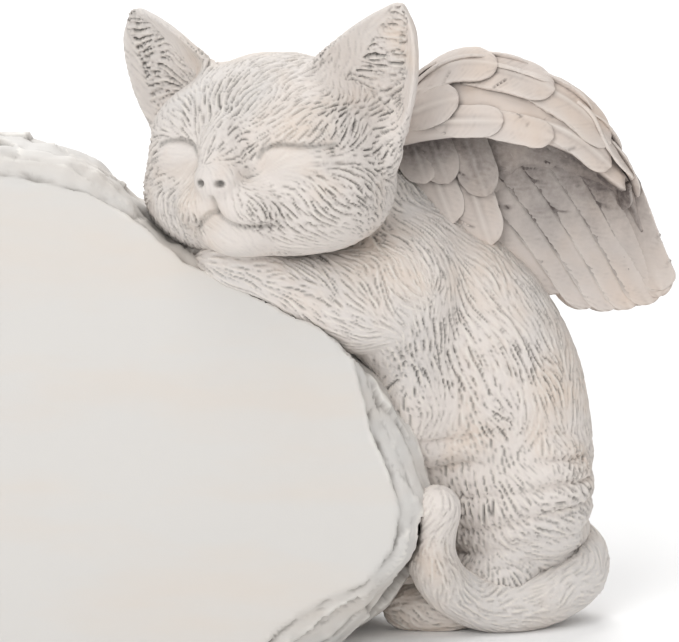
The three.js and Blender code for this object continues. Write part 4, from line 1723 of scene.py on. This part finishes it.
        # painted shade: between close feathers (near), over the wing's hollows (wide), under the arch (deep)
        # and where the wing meets the other castings, added to the wash in the carving
        near = Crevices.within(points, quads, pitch=0.6, spread=0.9).filled.at(points + 0.7 * normals)
        wide = Crevices.within(points, quads, pitch=1.2, spread=3.2).filled.at(points + 2.0 * normals)
        grain = Grain(self.seed)
        patches = np.clip(0.75 + 0.4 * grain.at(points, 7.0, soft=True), 0.3, 1.2)
        skin.push(0.06 * grain.at(points, 1.1, soft=True))
        wash = np.concatenate([piece.wash for piece in pieces]) * patches
        wash = wash + 0.8 * smoothstep(0.34, 0.75, near) * patches + 0.35 * smoothstep(0.3, 0.7, wide)
        wash = np.clip(wash + deep * (0.5 + 0.5 * patches) + 0.5 * crevices.at(points, normals), 0, 1)
        brush = np.concatenate([piece.brush for piece in pieces])
        made = skin.to_object(f"{self.node}_cast", {WASH_AND_SHADE: wash, BRUSH: brush})
        finish.dress(made)
        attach(made, "root")
        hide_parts(self.node)
        return made


# ------------------------------------------------------------------------------------------- stone
@dataclass
class MemorialStone:
    """The upright stone: a smooth leaning face inside a chipped, layered edge."""

    node: str = "memorial_stone"
    seed: int = 71
    pitch: float = 0.88
    chip: float = 14.0  # mm across a chip
    chip_depth: float = 1.1
    ledge: float = 4.2  # mm from one layer of the stone to the next
    lean: float = 12.0  # degrees that the smooth face leans back

    def planes(self) -> tuple[np.ndarray, float]:
        """The plane of the smooth face.

        Returns:
            Its outward normal and its distance along it.
        """
        lean = math.radians(self.lean)
        normal = np.array([0.0, -math.cos(lean), math.sin(lean)])
        points, _ = node_mesh(bpy.data.objects[self.node])
        return normal, float((points @ normal).max())

    def chips(self, centres: np.ndarray) -> np.ndarray:
        """How far the broken edge is cut back: flat facets that end in sharp steps.

        Args:
            centres: places in millimetres.

        Returns:
            One height a place, without a unit.
        """
        rng = np.random.default_rng(self.seed)
        low, high = node_box(self.node)
        count = int(np.prod((high - low) / self.chip) * 0.9)
        seeds = rng.uniform(low, high, (count, 3)).astype(np.float32)
        seeds = seeds[self._near_rim(seeds)]
        tilt = rng.standard_normal((len(seeds), 3)).astype(np.float32)
        level = rng.uniform(-1, 1, len(seeds)).astype(np.float32)
        best = np.full(len(centres), 1e9, np.float32)
        value = np.zeros(len(centres), np.float32)
        squash = np.array([1.0, 1.9, 1.0], np.float32)
        for centre, lean, rise in zip(seeds, unit(tilt), level):
            offset = (centres - centre) * squash
            distance = np.einsum("ij,ij->i", offset, offset)
            nearer = distance < best
            best[nearer] = distance[nearer]
            value[nearer] = rise + (offset[nearer] @ lean) * 0.16
        return value

    def _near_rim(self, points: np.ndarray) -> np.ndarray:
        """Which places lie near the stone's outline.

        Args:
            points: places in millimetres.

        Returns:
            One truth value a place.
        """
        low, high = node_box(self.node)
        share = (points - low) / (high - low)
        middle = np.hypot((share[:, 0] - 0.5) / 0.5, (share[:, 2] - 0.35) / 0.65)
        return middle > 0.6

    def build(self, frame: dict, crevices: Crevices, finish: CastResin) -> bpy.types.Object:
        """Makes the stone and puts it in the place of its CAD node.

        Args:
            crevices: where painted shade darkens the paint.
            finish: the paint.

        Returns:
            The finished object.
        """
        pitch = self.pitch * 1.0
        points, triangles = node_mesh(frame["nodes"][self.node])
        solid = Field.of_surface(points, triangles, pitch, 4.5)
        soft = solid.blurred(0.5)
        skin = soft.skin()
        normals = skin.normals()
        normal, reach = self.planes()
        depth = reach - skin.points @ normal
        low, high = node_box(self.node)
        back = smoothstep(0.75, 0.93, normals[:, 1])
        base = smoothstep(2.0, 0.4, skin.points[:, 2])
        face = smoothstep(0.75, 0.93, normals @ normal) * smoothstep(1.6, 0.7, depth)
        grain = Grain(self.seed)
        rim = (1 - back) * (1 - base)
        edge = self._broken_edge(skin.points, depth, grain) * rim * (1 - face)
        skin.push(np.clip(edge, -2.4, 1.2).astype(np.float32))
        skin.push((back * (1 - base) * 0.25 * grain.at(skin.points, 6.0, soft=True)).astype(np.float32))
        skin.points[:, 2] = np.maximum(skin.points[:, 2], 0.0)
        skin.points = np.clip(skin.points, low - 0.4, high + 0.4).astype(np.float32)
        curved = self._hollows(skin, edge)
        enclosed = crevices.at(skin.points, normals)
        # painted shadow line along the edge of the smooth face, broken up in places
        outline = np.exp(-(((depth - 0.6) / 0.35) ** 2)) * smoothstep(0.2, 0.5, depth) * rim
        outline *= smoothstep(-0.4, 0.9, grain.at(skin.points, 8.0, soft=True))
        in_chips = smoothstep(0.12, 0.7, curved) * rim * (1 - face)
        # painted shade from the crevices between castings (enclosed) is added to the wash in the chips
        wash = np.clip(0.7 * in_chips + 0.55 * outline + 0.65 * enclosed, 0, 1)
        brush = np.clip(smoothstep(0.1, 0.6, -curved) * rim, 0, 1)
        made = skin.to_object("memorial_stone_cast", {WASH_AND_SHADE: wash, BRUSH: brush})
        finish.dress(made)
        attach(made, "root")
        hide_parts(self.node)
        return made

    def _broken_edge(self, points: np.ndarray, depth: np.ndarray, grain: Grain) -> np.ndarray:
        """How far the broken edge stands out: chips, layers of stone, and a lip beaten back at the face.

        Args:
            points: places in millimetres.
            depth: how far each lies behind the plane of the smooth face.
            grain: the stone's own noise.

        Returns:
            Millimetres, one number a point.
        """
        layers = depth + 1.3 * grain.at(points, 17.0, soft=True)
        step = np.abs((layers / self.ledge) % 1.0 - 0.5) * 2
        shelf = np.clip(layers / self.ledge, 0, 4)
        shelf = np.floor(shelf) + smoothstep(0.82, 1.0, shelf - np.floor(shelf))
        rough = 0.5 * grain.at(points, 5.0, soft=True) + 0.3 * grain.at(points, 2.2, soft=True)
        chips = 0.55 * self.chip_depth * self.chips(points)
        broken = chips + 0.5 * rough + 0.35 * np.sin(shelf * 2.4) - 0.35 * (step > 0.9)
        lip = 0.75 + 0.4 * np.clip(grain.at(points, 3.5, soft=True), -1, 2)
        return np.clip(depth / 2.2, 0, 1) * broken - smoothstep(3.6, 1.4, depth) * lip

    @staticmethod
    def _hollows(skin: Skin, height: np.ndarray) -> np.ndarray:
        """How much lower each point lies than its neighbourhood, in millimetres."""
        even = skin.relaxed(height.astype(np.float64), 14)
        return (even - height).astype(np.float32)


# ------------------------------------------------------------------------------------------- dowels
@dataclass
class Dowels:
    """The steel pins inside the joints, which stay as the CAD has them."""

    nodes: tuple[str, ...] = (
        "neck_dowel",
        "left_wing_dowel",
        "right_wing_dowel",
        "upper_stone_dowel",
        "lower_stone_dowel",
    )

    def dress(self, frame: dict, finish: CutSteel) -> None:
        """Gives the pins their finish.

        Args:
            finish: the steel's finish.
        """
        for name in self.nodes:
            finish.dress(frame["nodes"][name])
            LOG.info("%s dressed as %s", name, finish.name)


# ------------------------------------------------------------------------------------------- studio
@dataclass(frozen=True)
class Panel:
    """A soft light panel: where it stands, how big it is and how bright, in metres and watts."""

    name: str
    place: tuple[float, float, float]
    size: float
    power: float


@dataclass
class Studio:
    """A pale floor, soft panels and a long lens a little above the figurine."""

    rise: float = 10.0  # degrees that the camera looks down
    away: float = 1.15  # metres
    wide: float = 0.1562  # metres across the view at the figurine
    inward: float = 0.0779  # metres from the wing tip to the middle of the view
    behind: float = 0.0335  # metres from the stone's front foot back to the focus
    up: float = 0.0699  # metres from the floor to the middle of the view, square to the line of sight
    surround: float = 0.56  # strength of the white light from all round
    floor: float = 12.0  # metres across
    paper: str = "#FAFAFA"
    aim: tuple[float, float, float] = (0.03, 0.0, 0.07)  # what the panels face
    panels: tuple[Panel, ...] = (
        Panel("overhead_panel", (-0.1, -0.35, 1.3), 0.8, 3.6),
        Panel("front_panel", (-0.5, -1.3, 0.75), 0.8, 7.5),
        Panel("backdrop_panel", (0.0, 1.6, 1.6), 1.2, 24.0),
    )

    def build(self) -> None:
        """Sets the stage."""
        self._floor()
        self._lights()
        self._camera()

    def _floor(self) -> None:
        """A wide matt floor."""
        mesh = bpy.data.meshes.new("studio_floor")
        half = self.floor / 2
        corners = [(-half, -half, 0), (half, -half, 0), (half, half, 0), (-half, half, 0)]
        mesh.from_pydata(corners, [], [(0, 1, 2, 3)])
        floor = bpy.data.objects.new("studio_floor", mesh)
        bpy.context.scene.collection.objects.link(floor)
        material = bpy.data.materials.new("studio_paper")
        material.use_nodes = True
        tree = material.node_tree
        tree.nodes.clear()
        matt = {"Base Color": linear(self.paper), "Roughness": 0.95, "Specular IOR Level": 0.1}
        surface = add_node(tree, "ShaderNodeBsdfPrincipled", matt)
        add_node(tree, "ShaderNodeOutputMaterial", {}, {"Surface": surface.outputs[0]})
        mesh.materials.append(material)
        floor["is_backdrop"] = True

    def _lights(self) -> None:
        """Panels, and an even white surround."""
        for panel in self.panels:
            light = bpy.data.lights.new(panel.name, "AREA")
            light.shape = "DISK"
            light.size = panel.size
            light.energy = panel.power
            lamp = bpy.data.objects.new(panel.name, light)
            lamp.location = panel.place
            aim = Vector(self.aim) - Vector(panel.place)
            lamp.rotation_euler = aim.to_track_quat("-Z", "Y").to_euler()
            bpy.context.scene.collection.objects.link(lamp)
        world = bpy.data.worlds.new("white_surround")
        bpy.context.scene.world = world
        world.use_nodes = True
        world.node_tree.nodes["Background"].inputs["Color"].default_value = linear("#FFFFFF")
        world.node_tree.nodes["Background"].inputs["Strength"].default_value = self.surround

    def _camera(self) -> None:
        """A long lens that looks down a little at the kitten's side of the stone."""
        low, high = (np.array(corner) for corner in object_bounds())
        rise = math.radians(self.rise)
        ahead = np.array([0.0, math.cos(rise), -math.sin(rise)])
        upward = np.array([0.0, math.sin(rise), math.cos(rise)])
        x, y = high[0] - self.inward, low[1] + self.behind
        target = np.array([x, y, (self.up - y * math.sin(rise)) / math.cos(rise)])
        camera = bpy.data.cameras.new("long_lens")
        camera.lens = camera.sensor_width * self.away / self.wide
        camera.clip_start, camera.clip_end = 0.05, 30.0
        holder = bpy.data.objects.new("long_lens", camera)
        turn = Matrix(np.stack([np.array([1.0, 0.0, 0.0]), upward, -ahead], axis=1).tolist()).to_4x4()
        holder.matrix_world = Matrix.Translation(Vector(target - ahead * self.away)) @ turn
        bpy.context.scene.collection.objects.link(holder)
        bpy.context.scene.camera = holder
        bpy.context.scene.view_settings.view_transform = "Standard"


# ------------------------------------------------------------------------------------------- the figurine
# The lie of the fur on each casting, nose to tail
TORSO_FUR = [
    Guide((0.12, 0.5, 0.95), (0.5, 0.0, -0.85)),
    Guide((0.35, 0.1, 0.8), (0.35, 0.0, -0.95)),
    Guide((0.15, 0.1, 0.68), (-0.35, 0.0, -0.95)),
    Guide((0.65, 0.1, 0.75), (0.6, 0.0, -0.8)),
    Guide((0.45, 0.05, 0.55), (0.1, 0.0, -1.0)),
    Guide((0.8, 0.2, 0.5), (0.35, 0.0, -0.95)),
    Guide((0.5, 0.0, 0.3), (0.2, 0.0, -1.0)),
    Guide((0.95, 0.5, 0.35), (0.1, 0.0, -1.0)),
    Guide((0.8, 0.0, 0.15), (0.7, 0.0, -0.7)),
    Guide((0.35, 0.1, 0.04), (-1.0, 0.0, -0.15)),
    Guide((0.5, 1.0, 0.6), (0.3, 0.0, -0.95)),
    Guide((0.4, 1.0, 0.04), (-1.0, 0.0, -0.15)),
]
NEAR_LEG_FUR = [
    Guide((0.0, 0.5, 0.8), (-1.0, 0.0, 0.35)),
    Guide((0.35, 0.3, 0.55), (-0.8, 0.0, 0.6)),
    Guide((0.65, 0.3, 0.35), (-0.8, 0.0, 0.6)),
    Guide((0.85, 0.3, 0.2), (-0.9, 0.0, 0.3)),
    Guide((1.0, 0.4, 0.8), (-0.15, 0.0, 1.0)),
]
FAR_LEG_FUR = [
    Guide((0.0, 0.5, 0.8), (-1.0, 0.0, 0.3)),
    Guide((0.5, 0.6, 0.4), (-1.0, 0.0, 0.3)),
    Guide((1.0, 0.8, 0.6), (-0.4, 0.3, -1.0)),
]
TAIL_FUR = [
    Guide((0.85, 0.9, 0.5), (0.6, -0.6, -0.4), 0.6),
    Guide((1.0, 0.62, 0.35), (0.1, -1.0, -0.3), 0.6),
    Guide((0.85, 0.45, 0.2), (-0.7, -0.6, -0.3), 0.6),
    Guide((0.5, 0.4, 0.14), (-1.0, -0.3, 0.1), 0.6),
    Guide((0.25, 0.3, 0.25), (-0.8, -0.4, 0.5), 0.6),
    Guide((0.1, 0.2, 0.5), (-0.3, -0.4, 0.9), 0.6),
    Guide((0.1, 0.1, 0.9), (0.1, -0.2, 1.0), 0.6),
]


def fur_castings() -> list[FurCasting]:
    """The kitten's furred castings with the lie of their fur.

    Returns:
        The castings, in the order they are made.
    """
    return [
        KittenHead(
            "kitten_head",
            seed=11,
            pitch=0.41,
            spacing=0.95,
            length=4.0,
            depth=0.5,
            stain=1.25,
            film=0.07,
        ),
        KittenTorso(
            "kitten_torso",
            seed=23,
            pitch=0.52,
            soften=1.7,
            guides=TORSO_FUR,
            depth=0.48,
            length=4.6,
            grow=0.6,
            reach=9.0,
            stain=0.95,
        ),
        NearForeleg(
            "left_foreleg", seed=31, soften=1.2, guides=NEAR_LEG_FUR, depth=0.42, grow=1.1, length=4.5
        ),
        FurCasting(
            "right_foreleg", seed=37, soften=1.0, guides=FAR_LEG_FUR, depth=0.34, grow=0.6, length=4.5
        ),
        FurCasting("tail", seed=41, soften=0.8, guides=TAIL_FUR, depth=0.3, length=3.4, grow=1.0, stain=0.3),
    ]


def main() -> None:
    """Builds the whole figurine on its stage."""
    logging.basicConfig(level=logging.INFO, format="%(message)s")
    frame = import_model()
    castings = ["memorial_stone", "kitten_torso", "kitten_head", "left_foreleg", "right_foreleg", "tail"]
    # painted shade where the castings crowd each other
    crevices = Crevices.among([frame["nodes"][name] for name in castings], pitch=1.1, spread=2.4)
    stone = MemorialStone().build(frame, crevices, STONE)
    LOG.info("%s: %d faces", stone.name, len(stone.data.polygons))
    for casting in fur_castings():
        made = casting.build(frame, crevices, FUR)
        LOG.info("%s: %d faces", made.name, len(made.data.polygons))
    for wing in (
        Wing("left_wing", seed=53, mirrored=False),
        Wing("right_wing", seed=59, mirrored=True),
    ):
        made = wing.build(crevices, FEATHER)
        LOG.info("%s: %d faces", made.name, len(made.data.polygons))
    Dowels().dress(frame, STEEL)
    Studio().build()


if __name__ == "__main__":
    main()
